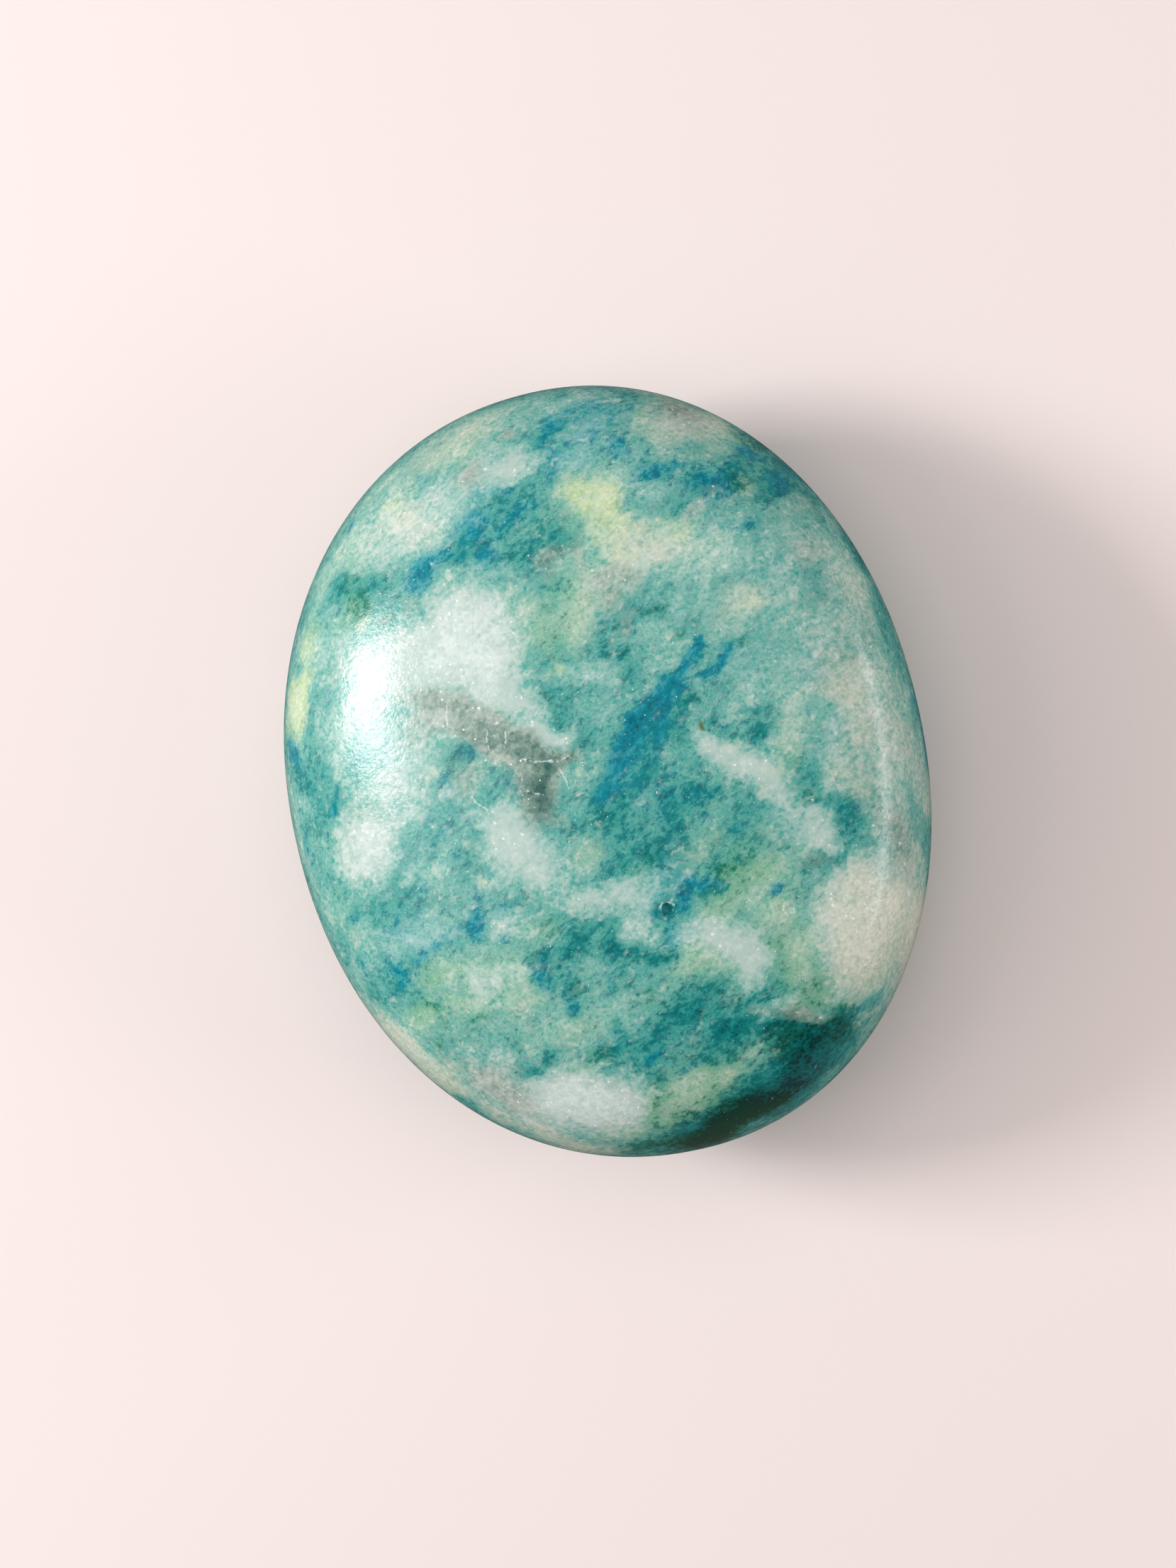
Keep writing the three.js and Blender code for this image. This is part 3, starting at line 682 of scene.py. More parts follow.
        (-9.9, -1.8, 0.5, 0.35, 20, 0.8), (-9.1, -3.1, 0.35, 0.3, 0, 1),
        (-10.5, -0.6, 0.9, 0.25, 75, 0.6), (-11, -2.7, 0.7, 0.35, 55, 0.5),
        (-13.1, 1.2, 0.8, 0.5, 10, 0.5), (-8.7, -5.6, 1, 0.25, 88, 0.7), (-12, -4.7, 0.8, 0.4, 5, 0.5),
        (-17.9, -5.9, 0.6, 0.35, -10, 1), (-14.4, -6.3, 0.8, 0.2, 75, 0.5),
        (-9.2, -8.1, 0.9, 0.5, 85, 1.2), (-7.6, -9.7, 0.4, 0.25, -10, 1.1),
        (-6.6, -7.2, 0.9, 0.2, 0, 0.7), (-12.4, -9.1, 0.4, 0.35, 0, 0.9),
        (-13.6, -9.4, 0.6, 0.35, 20, 0.9), (-15.6, -10.5, 0.8, 0.6, 70, 0.8),
        (-16, -9.7, 0.9, 0.6, 10, 0.3), (-16.4, -11.3, 0.8, 0.25, 10, 0.7),
        (-18.5, -9.5, 0.7, 0.45, -55, 1), (-5.6, -12, 0.9, 0.6, 80, 1), (-5.1, -13.3, 0.6, 0.5, 0, 0.7),
        (-3.7, -12.7, 0.4, 0.3, 0, 0.8), (-3.9, -14.9, 0.7, 0.5, 60, 0.8),
        (-1.2, -14.3, 0.8, 0.35, 70, 0.6), (0.2, -14.5, 0.4, 0.4, 0, 0.4), (0.8, -18.9, 0.6, 0.4, 10, 1),
        (0.2, -19.6, 0.6, 0.4, 0, 0.9), (2.2, -20.9, 1.4, 0.3, 15, 0.9), (3.6, -12, 0.35, 0.3, 0, 0.8),
        (5.4, -9.2, 1.2, 0.5, 80, 1.2), (6.5, -8.7, 0.7, 0.5, 0, 1.1), (7.7, -9.2, 0.35, 0.35, 0, 1.1),
        (11.4, -10, 0.45, 0.35, 0, 1.3), (5.6, -8.6, 0.6, 0.4, 0, 0.9), (4.3, -11.4, 0.6, 0.5, 0, 0.5),
        (9.9, 6.6, 0.5, 0.3, 50, 1.1), (9.2, 6, 0.7, 0.25, 45, 1.2), (8.2, 5.1, 0.9, 0.35, 40, 1.3),
        (6.6, 4.5, 1.2, 0.35, 35, 1.2), (5.2, 3.3, 1.1, 0.4, 45, 1.2), (4.2, 2.2, 0.9, 0.4, 50, 0.9),
        (11.1, 5.7, 0.8, 0.25, 28, 1.2), (3.4, 1, 1.1, 0.4, 50, 0.8), (2, -0.6, 0.9, 0.35, 55, 0.9),
        (7.2, 3.2, 1.1, 0.35, 35, 0.7), (6.3, 1.9, 0.9, 0.4, 45, 0.8), (1.1, -1.6, 0.9, 0.3, 55, 0.8),
        (10.7, 1.4, 0.6, 0.3, 20, 0.7), (10, -5.7, 0.6, 0.3, 0, 0.9), (7.6, -4.5, 0.5, 0.4, 0, 0.6),
        (7.9, -2.9, 0.9, 0.45, 5, 0.7), (6, 9.2, 0.6, 0.3, 80, 0.9), (18.8, -3.6, 0.8, 0.5, 70, 0.6),
        (17.8, -6, 0.4, 0.3, 0, 0.7),
    ],
    "rust": [
        (9.15, 1.7, 0.42, 0.24, -60, 1.5), (0.7, 8, 0.7, 0.45, 40, 0.55), (3.6, 15.3, 0.9, 0.5, 80, 0.3),
        (11.6, -1.9, 0.6, 0.3, -50, 0.3), (-3.3, 21.8, 0.7, 0.4, 50, 0.3), (5.2, 10.6, 0.9, 0.5, 60, 0.3),
    ],
    "grey": [
        (-10.8, -20.2, 2.8, 1.4, -38, 0.9), (-11, -18.6, 1.6, 1, -20, 0.6), (17.6, 9, 4.4, 2.6, 100, 0.3),
        (9, -24, 3.4, 0.8, 30, 0.5), (20.5, 6, 4, 1, 100, 0.5), (17.5, -19, 3, 0.8, 52, 0.6),
        # The rows at (-11.5, 5.5) and (-14, 10.5) grey the rock around the window highlight: painted
        # highlight haze.
        (-10, 17, 4, 3, 20, 0.2), (-11.5, 5.5, 6, 3, 85, 0.5), (-14, 10.5, 3, 2.4, 0, 0.5),
        # The first row below greys the wall below the crisp shoulder, which is hazy with reflection there:
        # painted reflection haze.
        (19.5, -2.5, 8, 2.4, 95, 0.6), (13, -16, 2.6, 2, 40, 0.35), (-11, -17.5, 4, 1.6, -25, 0.5),
        (-15.5, 1, 3, 2, 0, 0.35), (-1.5, 12, 2.6, 1.6, 60, 0.3), (-9, 19.5, 4, 2, 15, 0.3),
        (17.5, 3, 2.6, 2, 90, 0.3),
    ],
    "haze": [
        (10.6, 22, 1.8, 1.2, -20, 0.6), (4.4, 21.6, 2.4, 1.2, 0, 0.7), (6, 24.2, 2.4, 1.2, 0, 0.6),
        (-12, 4.4, 2, 1.6, 85, 0.6), (4, -9, 1.6, 1.4, 60, 0.5), (4.4, -12, 1.4, 1, 20, 0.5),
        (13, 5, 2.4, 1.2, -30, 0.3), (12, 16.8, 1.8, 0.7, -10, 0.5), (-3.4, 18.9, 1.2, 0.8, 10, 0.8),
        (-9.2, -7.3, 0.6, 0.5, 0, 0.4), (-13.2, -8.6, 0.5, 0.4, 0, 0.7), (-11.7, -8.2, 1.6, 0.5, 5, 0.4),
        (-6.5, 22, 1, 0.8, 0, 0.6), (-8.2, 1.2, 0.5, 0.4, 0, 0.8), (17.6, -0.2, 1.2, 0.35, 60, 0.8),
        (22.3, 0.2, 1, 0.4, 95, 0.6), (-12.8, 1.2, 1, 0.6, 0, 0.6), (-14.1, -7.4, 1.8, 0.8, 5, 0.4),
        (8.3, 20.6, 1, 0.6, -10, 0.6), (11, 19.4, 1, 0.4, -15, 0.6), (20.2, 12.6, 1, 0.4, -60, 0.6),
        (2.9, -18.2, 0.8, 0.4, 0, 0.6), (5, -1, 6, 2.6, 70, 0.3), (-2, 20, 6.5, 2.8, 20, 0.25),
        (-12, -8.4, 6.5, 1.6, 5, 0.3), (10.8, 18.6, 4.6, 1.3, -12, 0.35),
    ],
    "dark": [
        # The rows centred below y = -23, here and further down, darken the foot at the bottom rim: partly
        # the rock's own dark green, partly painted shade.
        (19.4, -10.6, 1.6, 1, 80, 0.4), (4.6, -24.8, 2.4, 0.8, 15, 0.5), (1.8, -26, 2, 0.6, 5, 0.8),
        (5.6, 1.6, 2.6, 1, 50, 0.3), (-12, 12.6, 2, 0.8, 0, 0.4), (-12.6, 5, 2, 1.6, 80, 0.4),
        (16, 12, 1.4, 0.9, 0, 0.3), (0, 9, 1.4, 0.8, 60, 0.4), (0, 4.6, 1.2, 0.7, 20, 0.4),
        (-14.6, 4, 1.4, 1.2, 80, 0.4), (-6, 16.4, 1.6, 0.8, 10, 0.2), (10.2, -2.8, 1.2, 0.5, -45, 0.4),
        (6, -1.6, 1.4, 0.8, 60, 0.3), (3, -24.2, 5, 1.4, 8, 0.5), (7.5, -23.4, 2.4, 1, 20, 0.4),
        (6, -20, 3, 1.2, 15, 0.3), (5, -7, 2, 1.2, 30, 0.25), (1.9, 15.4, 1.2, 0.5, 10, 0.7),
        (-0.6, 5.6, 1.2, 0.7, 0, 1), (1.7, 5.4, 0.9, 0.5, 10, 0.8), (4, 8.2, 1.3, 0.7, 75, 0.6),
        (5, 7.2, 0.8, 0.8, 0, 0.5), (8.8, 3.4, 0.6, 0.3, 0, 1.1), (12.6, 0.2, 0.4, 0.45, 0, 1.4),
        (10.1, 2, 0.4, 0.4, 0, 0.7), (12.8, 1.9, 1.2, 0.25, 0, 0.7), (9.8, -2.2, 0.8, 0.2, -45, 0.8),
        (7.9, -2.9, 0.9, 0.45, 5, 0.6), (7.1, -3.6, 0.7, 0.5, 0, 0.5), (5.8, -4.6, 0.7, 0.5, 20, 0.8),
        (5.6, -2.8, 0.9, 0.7, 65, 0.6), (3.7, -5.7, 0.9, 0.8, 60, 0.7), (2.3, -6.6, 0.7, 0.5, 20, 0.6),
        (2.4, -2.3, 0.8, 0.6, 30, 0.6), (1, -2.9, 0.7, 0.6, 60, 0.6), (4.4, -0.6, 1, 0.7, 60, 0.5),
        (9.1, -7.2, 0.4, 0.3, 0, 0.6), (15.2, -2.9, 0.8, 0.7, 80, 0.6), (16.4, -5.6, 1.7, 1.3, 10, 0.55),
        (17, -6.9, 0.6, 0.4, 0, 0.5), (15.2, -5.2, 0.7, 0.5, 0, 0.6), (14.2, -8.9, 1, 0.5, 0, 0.6),
        (18.6, -4.4, 0.9, 0.6, 80, 0.4), (-2.6, -10.8, 0.7, 0.5, 10, 0.9),
        (-1.8, -10.1, 0.9, 0.4, 10, 0.7), (0, -11, 0.9, 0.4, 80, 1.1), (1, -12.4, 1.3, 0.4, -15, 1.1),
        (2.6, -12.7, 0.9, 0.35, 0, 1), (3.9, -9.9, 0.6, 0.5, 0, 1), (-5.3, -11.2, 0.6, 0.5, 0, 0.9),
        (-4.6, -12.1, 0.6, 0.6, 0, 0.6), (-3.4, -13.7, 0.5, 0.5, 0, 0.8), (4.1, -17, 0.6, 0.4, -10, 1.1),
        (5.8, -15.6, 0.7, 0.4, 10, 0.7), (7.1, -16.9, 0.8, 0.5, 20, 0.6), (1.4, -15.1, 0.6, 0.6, 0, 0.6),
        (3.4, -15.4, 0.6, 0.4, 10, 0.6), (-1.3, -16.8, 0.4, 0.35, 20, 0.8),
        (2.9, -16.4, 0.9, 0.6, 10, 0.4), (6.4, -18.7, 0.7, 0.6, 0, 0.6), (5.5, -18.6, 0.8, 0.6, 0, 0.4),
        (-8.8, -16.7, 0.8, 0.6, 10, 0.5), (-6.5, -17.7, 0.8, 0.5, 40, 0.8),
        (-8.2, -18.6, 1.1, 0.4, -10, 0.8), (-0.3, -21.6, 0.9, 0.7, 90, 0.5),
        (-0.6, -22.9, 0.7, 0.6, 0, 0.5), (9.2, -19.6, 1.5, 0.8, 5, 1.1), (9.9, -21, 1.7, 1, 15, 1.1),
        (11.7, -20.4, 1.6, 0.9, 15, 0.9), (13, -20.4, 1, 0.9, 60, 0.8), (10.6, -22.8, 1.8, 0.8, 20, 0.5),
        (7.8, -24.3, 1.6, 0.7, 20, 0.9), (5.3, -24.4, 1.6, 0.8, 20, 1.2), (3.4, -25, 1.2, 0.6, 10, 1),
        (1.7, -26.3, 1.8, 0.5, 0, 1.1), (8.9, -22.3, 1.2, 0.7, 15, 0.6), (17, 18, 2.6, 0.8, -55, 0.6),
        (16.6, 19.2, 1.2, 0.5, -50, 0.6), (17.2, 15.9, 0.9, 0.6, -50, 0.7),
        (18.6, 14.8, 1.2, 0.5, -55, 0.5), (20.8, 11.2, 1.6, 0.4, -68, 0.8), (8, 24.9, 1.3, 0.5, -10, 0.6),
        (14.8, 13.6, 0.8, 0.6, 0, 0.4), (12.5, 10.6, 0.8, 0.6, 50, 0.5), (18.1, 7.8, 0.9, 0.7, 0, 0.25),
        (17.5, 9.2, 1.2, 0.9, 80, 0.2), (-17, 16, 1.6, 0.4, 60, 0.6), (-18.2, 5.4, 1.2, 1, 80, 0.4),
        (-19.6, 4, 0.8, 0.8, 0, 0.4), (-18.2, -0.9, 1.2, 0.5, 95, 0.6), (-7.6, 2.9, 2.2, 1.6, 10, 0.7),
        (-11.1, 6.1, 1.4, 0.8, 80, 0.6), (1.8, -3.6, 0.7, 0.5, 50, 0.6), (-16.3, -6.2, 0.4, 0.3, 0, 0.7),
        (-13.7, -4.9, 0.4, 0.3, 0, 0.6), (-14.6, -12.1, 0.8, 0.4, 10, 0.5), (-3, 18.4, 3, 1.2, 25, 0.1),
        (1, 15.6, 2.4, 1.2, 15, 0.5), (-10.6, 15.8, 2.4, 0.8, 10, 0.35), (11.5, 18, 3, 1, -12, 0.3),
        (4.5, -3, 6.5, 3.6, 72, 0.15), (10.6, -20.8, 4.4, 2.2, 20, 0.5), (4, -25, 5.4, 1.6, 10, 0.9),
        (9.5, -23.2, 3, 1.2, 25, 0.7), (-1, 17.5, 4.6, 1.8, 20, 0.12), (-4, -11.6, 7, 2.4, 12, 0.26),
        (5, -18, 6, 2.8, 10, 0.5), (12, 17.6, 5.2, 1.6, -15, 0.2), (3.2, -4.4, 2.6, 1.2, 60, 0.15),
        (16.5, -5.5, 3, 2, 20, 0.2),
    ],
}
print(sum(len(rows) for rows in CLOUDS.values()), "clouds")

# %% [markdown]
# Veins run through the clouds. A vein is a line of a few points with a half width, and its
# strength eases off towards its edges and past its ends.

# %% List the veins of the face
# mineral, half width, strength, points on the face
VEINS = [
    ("blue", 0.35, 0.7, [(10.2, 7.0), (9.4, 6.0), (8.3, 5.1), (6.4, 4.2), (4.8, 2.8)]),
    ("blue", 0.3, 0.7, [(11.9, 6.2), (11.1, 5.7), (9.6, 4.9), (7.4, 3.8)]),
    ("blue", 0.5, 0.25, [(4.8, 2.8), (3.2, 1.4), (2.0, -0.2), (0.9, -1.6)]),
]
print(len(VEINS), "veins")

# %% [markdown]
# A cloud is a soft-edged ellipsoid that reaches down into the rock, and a vein follows a line. Both
# are worked out for all corners at once, as a share from 0 to 1. The clouds are measured from the
# bent places, so a smooth ellipsoid in the list becomes a ragged patch on the stone.

# %% Measure clouds and veins
CLOUD_DEPTH = 1.6  # how deep a cloud goes into the rock, in long radii
EDGE_SHARE = 0.85  # how much of the short radius the soft edge takes on either side
laid = {channel: np.zeros(corner_count) for channel in CHANNELS}


def lay(mineral, share):
    """Adds a mineral to the values, in proportion to a share from 0 to 1 at each corner."""
    for channel, amount in MINERALS[mineral].items():
        laid[channel] += amount * share


def cloud_share(centre, long_mm, short_mm, lean, softest_mm):
    """1 in the core of an ellipsoid, a half at its edge, 0 well outside: the distance from its
    edge is eased down over a width that grows with the ellipsoid, but never past softest_mm."""
    lean = math.radians(lean)
    x, y, z = (bent - centre).T
    along = (x * math.cos(lean) + y * math.sin(lean)) / long_mm
    across = (-x * math.sin(lean) + y * math.cos(lean)) / short_mm
    radii = np.sqrt(along**2 + across**2 + (z / (CLOUD_DEPTH * long_mm)) ** 2)
    edge_mm = min(EDGE_SHARE * short_mm, softest_mm)
    return smooth_step(1, -1, (radii - 1) * short_mm / edge_mm)


def line_distance(places, route):
    """How far each place is from a line of straight pieces through a few places of the face: for
    each piece, the nearest point is its start plus a clipped share of its length."""
    corners = np.array([on_the_face(x, y, points) for x, y in route])
    nearest = np.full(len(places), np.inf)
    for start, end in zip(corners[:-1], corners[1:]):
        piece = end - start
        share = np.clip((places - start) @ piece / (piece @ piece), 0, 1)
        nearest = np.minimum(nearest, np.linalg.norm(places - start - share[:, None] * piece, axis=1))
    return nearest


print("values are kept at", corner_count, "corners")

# %% [markdown]
# Each cloud and vein is now added to the values, the small clouds at less than their full
# strength, because their soft edges reach to their middle. Quartz, smoke and yellow have firmer
# edges than the copper minerals, which fade into each other.

# %% Lay the minerals of the face
SOFTEST_MM = {"white": 1.3, "ivory": 1.2, "dark_smoke_and_shade": 0.8, "smoky": 0.9, "yellow": 1.2}
SOFTEST_OF_OTHERS_MM = 2.5
FAINTEST, STRENGTH_PER_MM = 0.55, 0.4  # what the smallest clouds get, and what the short radius adds
VEIN_GONE, VEIN_FULL = 1.6, 0.4  # distances from a vein's line, in half widths
for mineral, rows in CLOUDS.items():
    softest_mm = SOFTEST_MM.get(mineral, SOFTEST_OF_OTHERS_MM)
    for x, y, long_mm, short_mm, lean, strength in rows:
        share = cloud_share(on_the_face(x, y, points), long_mm, short_mm, lean, softest_mm)
        lay(mineral, strength * min(1, FAINTEST + STRENGTH_PER_MM * short_mm) * share)
for mineral, half_width, strength, route in VEINS:
    away = line_distance(bent, route)
    lay(mineral, strength * smooth_step(VEIN_GONE, VEIN_FULL, away / half_width))
print("quartz covers", round(100 * float((laid["quartz"] > 0.5).mean())), "% of the corners")

# %% [markdown]
# The list says nothing about the underside and the lower walls, which are out of the camera's
# view. They get clouds of the same kinds from a seeded random draw, each centred on a corner of
# the mesh below the face. They fade out at the rim, so the two sides grow into each other.

# %% Lay clouds on the hidden sides
LEAN_OF_GROWTH, LEAN_SPREAD = 30, 25  # degrees: the way most streaks run, and how much they stray
# Heights are shares of the stone's: where hidden clouds are centred, and where they fade out
HIDDEN_CLOUDS, HIDDEN_TOP, FADE_FROM, FADE_TO = 150, 0.42, 0.5, 0.6
HIDDEN_KINDS = ("white", "milky", "dark", "blue", "green", "cream", "smoky", "dark", "milky", "blue")
HIDDEN_SOFTEST_MM = 1.5
random = np.random.default_rng(8)
below_face = np.flatnonzero(points[:, 2] < HIDDEN_TOP * stone_high[2])
below_rim = smooth_step(FADE_TO, FADE_FROM, points[:, 2] / stone_high[2])
for index in random.choice(below_face, HIDDEN_CLOUDS):
    kind = HIDDEN_KINDS[random.integers(len(HIDDEN_KINDS))]
    long_mm = 0.8 + 4.2 * random.uniform() ** 2  # many small clouds, few large ones
    lean = random.normal(LEAN_OF_GROWTH, LEAN_SPREAD)
    short_mm = long_mm * random.uniform(0.25, 0.7)
    share = cloud_share(points[index], long_mm, short_mm, lean, HIDDEN_SOFTEST_MM)
    lay(kind, random.uniform(0.5, 1.0) * share * below_rim)
for channel, amounts in laid.items():
    print(channel, "from", round(float(amounts.min()), 2), "to", round(float(amounts.max()), 2))

# %% [markdown]
# The values are stored on the mesh as attributes, one number at each corner. A material reads an
# attribute anywhere on the surface, blended between the corners, so no picture is needed. The
# distance from the nearest hairline goes with them, so that the material can draw a thin line: a
# healed crack, and on two pit rims a painted glint.

# %% Store the values on the mesh
FARTHEST_MM = 2.0  # beyond this the distance makes no difference
hairline_mm = np.min([line_distance(points, route) for route in HAIRLINES_AND_RIM_GLINTS], axis=0)
laid["hairline_mm"] = np.minimum(hairline_mm, FARTHEST_MM)
for name, amounts in laid.items():
    layer = mesh.attributes.new(name, "FLOAT", "POINT")
    layer.data.foreach_set("value", amounts.astype(np.float32))
print("stored", ", ".join(laid))


# %% [markdown]
# ## The rock's material
# The stone is a hand-polished copper silicate grown through quartz. Up close it is a soft, milky
# rock with clusters of dark grains in it, and over both lie the faint white streaks of quartz that
# let the colour through. The material is painted in that order: wash, pigment, veil. Every edge
# between two minerals is a stored value plus noise, so it breaks up into grains as the crystals do.
# A material is built from nodes, and one small function adds a node of any kind.


# %% A helper that adds nodes
def add_node(tree, kind, settings=None, sockets=None, stops=None):
    """Adds one node: settings are its properties, sockets its inputs by name or number, each a
    value or another node's output, and stops the positions and colours of a ramp."""
    new = tree.nodes.new(kind)
    for name, value in (settings or {}).items():
        setattr(new, name, value)
    for name, value in (sockets or {}).items():
        if isinstance(value, bpy.types.NodeSocket):
            tree.links.new(value, new.inputs[name])
        else:
            new.inputs[name].default_value = value
    for number, (position, colour) in enumerate(stops or []):
        elements = new.color_ramp.elements
        stop = elements[number] if number < len(elements) else elements.new(position)
        stop.position, stop.color = position, linear(colour)
    return new


# Polished copper-bearing quartz rock: blue-green and white grains under a clear, wet-looking gloss
rock = bpy.data.materials.new("polished_copper_quartz_rock")
rock.use_nodes = True
tree = rock.node_tree
tree.nodes.clear()
values = {}  # every output that a later node can use, by name
for name in laid:
    values[name] = add_node(tree, "ShaderNodeAttribute", {"attribute_name": name}).outputs["Fac"]
print("the material reads", ", ".join(values))

# %% [markdown]
# Eight noises of falling size bend and break the minerals: drift and clouds shift whole regions,
# clumps, blotches and grains are what the eye reads as crystals, and glitter frays the smallest
# glints. Most are stretched along the way the rock grew, which gives it its streaky look. The
# finest real grains are too small to show at this distance, so they are drawn as coarse as the eye
# needs to see them.

# %% Make the noises
place = add_node(tree, "ShaderNodeTexCoord").outputs["Object"]
along_growth = add_node(
    tree,
    "ShaderNodeMapping",
    {"vector_type": "TEXTURE"},
    {"Vector": place, "Rotation": (0, 0, math.radians(LEAN_OF_GROWTH)), "Scale": (1.5, 1.0, 1.0)},
).outputs["Vector"]

# lump size in mm, stretched or not, finer layers, their roughness, distortion
NOISES = {
    "drift": (5.5, along_growth, 3, 0.5, 0.3),
    "clouds_3mm": (2.6, along_growth, 5, 0.6, 0.4),
    "blue_clumps": (1.9, along_growth, 6, 0.66, 0.4),
    "blotches": (1.1, along_growth, 4, 0.62, 0.3),
    "veil_streaks": (0.75, along_growth, 6, 0.66, 0.5),
    "grains": (0.42, along_growth, 5, 0.68, 0.2),
    "fine": (0.24, place, 2, 0.6, 0.0),
    "glitter": (0.09, place, 1, 0.5, 0.0),
}
for name, (size_mm, vector, detail, roughness, distortion) in NOISES.items():
    sockets = {"Vector": vector, "Scale": 1 / (size_mm * MM), "Detail": detail}
    sockets |= {"Roughness": roughness, "Distortion": distortion}
    values[name] = add_node(tree, "ShaderNodeTexNoise", None, sockets).outputs["Fac"]
sizes = [row[0] for row in NOISES.values()]
print("lumps from", max(sizes), "mm down to", min(sizes), "mm")

# %% [markdown]
# Crystals have flat faces of one tone, which no cloudy noise shows. A Voronoi texture cuts space
# into cells, and its red is one random number for each cell. Three sets of them are small crystals,
# the larger facets of broken quartz, and a cell for each sparkle. The smooth ones run into each
# other a little, as small crystals do. All noises and cells are then centred on 0, so adding one
# changes a value here and there but not on the whole.

# %% Make the crystal cells
CELL_SMOOTHNESS = 0.25
# cell size in mm, and which kind of cells
CELLS = {"crystals": (0.3, "SMOOTH_F1"), "facets": (0.9, "F1"), "sparkles": (0.34, "F1")}
for name, (size_mm, feature) in CELLS.items():
    sockets = {"Vector": place, "Scale": 1 / (size_mm * MM)}
    cells = add_node(tree, "ShaderNodeTexVoronoi", {"feature": feature}, sockets)
    if feature == "SMOOTH_F1":
        cells.inputs["Smoothness"].default_value = CELL_SMOOTHNESS
    colour = {"Color": cells.outputs["Color"]}
    values[name] = add_node(tree, "ShaderNodeSeparateColor", None, colour).outputs["Red"]
values["from_cell_middle"] = cells.outputs["Distance"]  # of the last cells, the sparkles
for name in [*NOISES, *CELLS]:
    centred = {0: values[name], 1: 0.5}
    values[name] = add_node(tree, "ShaderNodeMath", {"operation": "SUBTRACT"}, centred).outputs[0]
print("cells:", ", ".join(CELLS))

# %% [markdown]
# Nearly everything in this material is a weighted sum: a stored value, which says where a mineral
# is, plus some noises, which break its edge. One function makes such a sum from the names of the
# values and their amounts, so that a sum reads like a recipe.


# %% A helper that adds up values
def summed(start, **amounts):
    """A start plus every named value times its amount, each added by one arithmetic node."""
    total = start
    for name, amount in amounts.items():
        terms = {0: values[name], 1: amount, 2: total}
        total = add_node(tree, "ShaderNodeMath", {"operation": "MULTIPLY_ADD"}, terms).outputs[0]
    return total


tone = summed(0.54, pale=0.66, drift=0.25, clouds_3mm=0.3, blotches=0.15)
calm_tone = summed(tone, grains=0.35, fine=0.25, crystals=0.16)
wash_tone = summed(tone, grains=0.9, fine=0.7, crystals=0.16)
facet_tone = summed(calm_tone, facets=0.2, grains=0.45)
print("three tones for the wash, from", len(tree.nodes), "nodes")

# %% [markdown]
# The wash is the soft colour of the rock between its grains. Its tone follows the value called
# pale, from dark teal through aqua to nearly white. Each other mineral has a ramp of its own, and
# is laid over the ones before it by its share. Quartz cuts through the copper minerals, and the
# stains of cream, yellow, smoke and rust come after it, because they colour it too. Quartz is
# clear and even, so its tone follows a calmer sum of noises, and smoky quartz adds its facets.

# %% Mix the wash
TEAL = [(0.0, "#158986"), (0.25, "#329C94"), (0.5, "#6EB6AA"), (0.75, "#A5CDC1"), (1.0, "#DAE9E2")]
WASHES = {
    "green": [(0.0, "#3A9077"), (0.5, "#86BE9F"), (1.0, "#D2E6CE")],
    "blue": [(0.0, "#0C8996"), (0.5, "#5FB3B8"), (1.0, "#C4E1E4")],
    "cream": [(0.0, "#76A08C"), (0.5, "#ABC2AC"), (1.0, "#E9E8D8")],
    "yellow": [(0.0, "#7FA673"), (0.5, "#AFCB9B"), (1.0, "#E2ECC6")],
    "smoke": [(0.0, "#3A6055"), (0.3, "#7A9387"), (0.6, "#B4BFB4"), (1.0, "#D8E0DA")],
    "rust": [(0.0, "#23260E"), (0.5, "#6A7032"), (1.0, "#B5B684")],
    "quartz": [(0.0, "#9CC2B8"), (0.4, "#B2CDC4"), (0.66, "#C1D5CD"), (0.85, "#DAE7E2"), (1.0, "#F0F6F3")],
}
# Where each mineral starts and is at its most, how much that is, and what breaks its edge
SHARES = {
    "green": (0.1, 1.0, 0.9, {"drift": 1.4, "clouds_3mm": 0.8, "blotches": 0.6}),
    "blue": (0.12, 0.9, 0.92, {"blue_clumps": 1.4, "blotches": 1.2, "grains": 1.2}),
    "quartz": (0.08, 0.95, 0.95, {"clouds_3mm": 0.8, "blotches": 1.3, "grains": 1.0, "crystals": 0.2}),
    "cream": (0.1, 1.0, 0.9, {"blotches": 1.0, "grains": 0.6}),
    "yellow": (0.15, 1.0, 0.95, {"clouds_3mm": 0.6, "blotches": 1.2, "grains": 0.8}),
    "smoke": (0.1, 1.0, 0.9, {"blotches": 0.8, "grains": 0.6}),
    "rust": (0.35, 1.0, 0.95, {"grains": 1.0, "fine": 0.8}),
}
TONES = {"quartz": calm_tone, "smoke": facet_tone}  # the others follow the wash's own tone
BLEND = {"data_type": "RGBA"}
wash = add_node(tree, "ShaderNodeValToRGB", None, {"Fac": wash_tone}, TEAL).outputs["Color"]
for mineral, (first, full, most, noises) in SHARES.items():
    amount = summed(0.0, **{mineral: 1.0}, **noises)
    sockets = {"Value": amount, "From Min": first, "From Max": full, "To Max": most}
    share = add_node(tree, "ShaderNodeMapRange", None, sockets).outputs["Result"]
    followed = {"Fac": TONES.get(mineral, wash_tone)}
    over = add_node(tree, "ShaderNodeValToRGB", None, followed, WASHES[mineral])
    layers = {0: share, 6: wash, 7: over.outputs["Color"]}
    wash = add_node(tree, "ShaderNodeMix", BLEND, layers).outputs[2]
    values[mineral + "_share"] = share
print("washed with", ", ".join(SHARES))

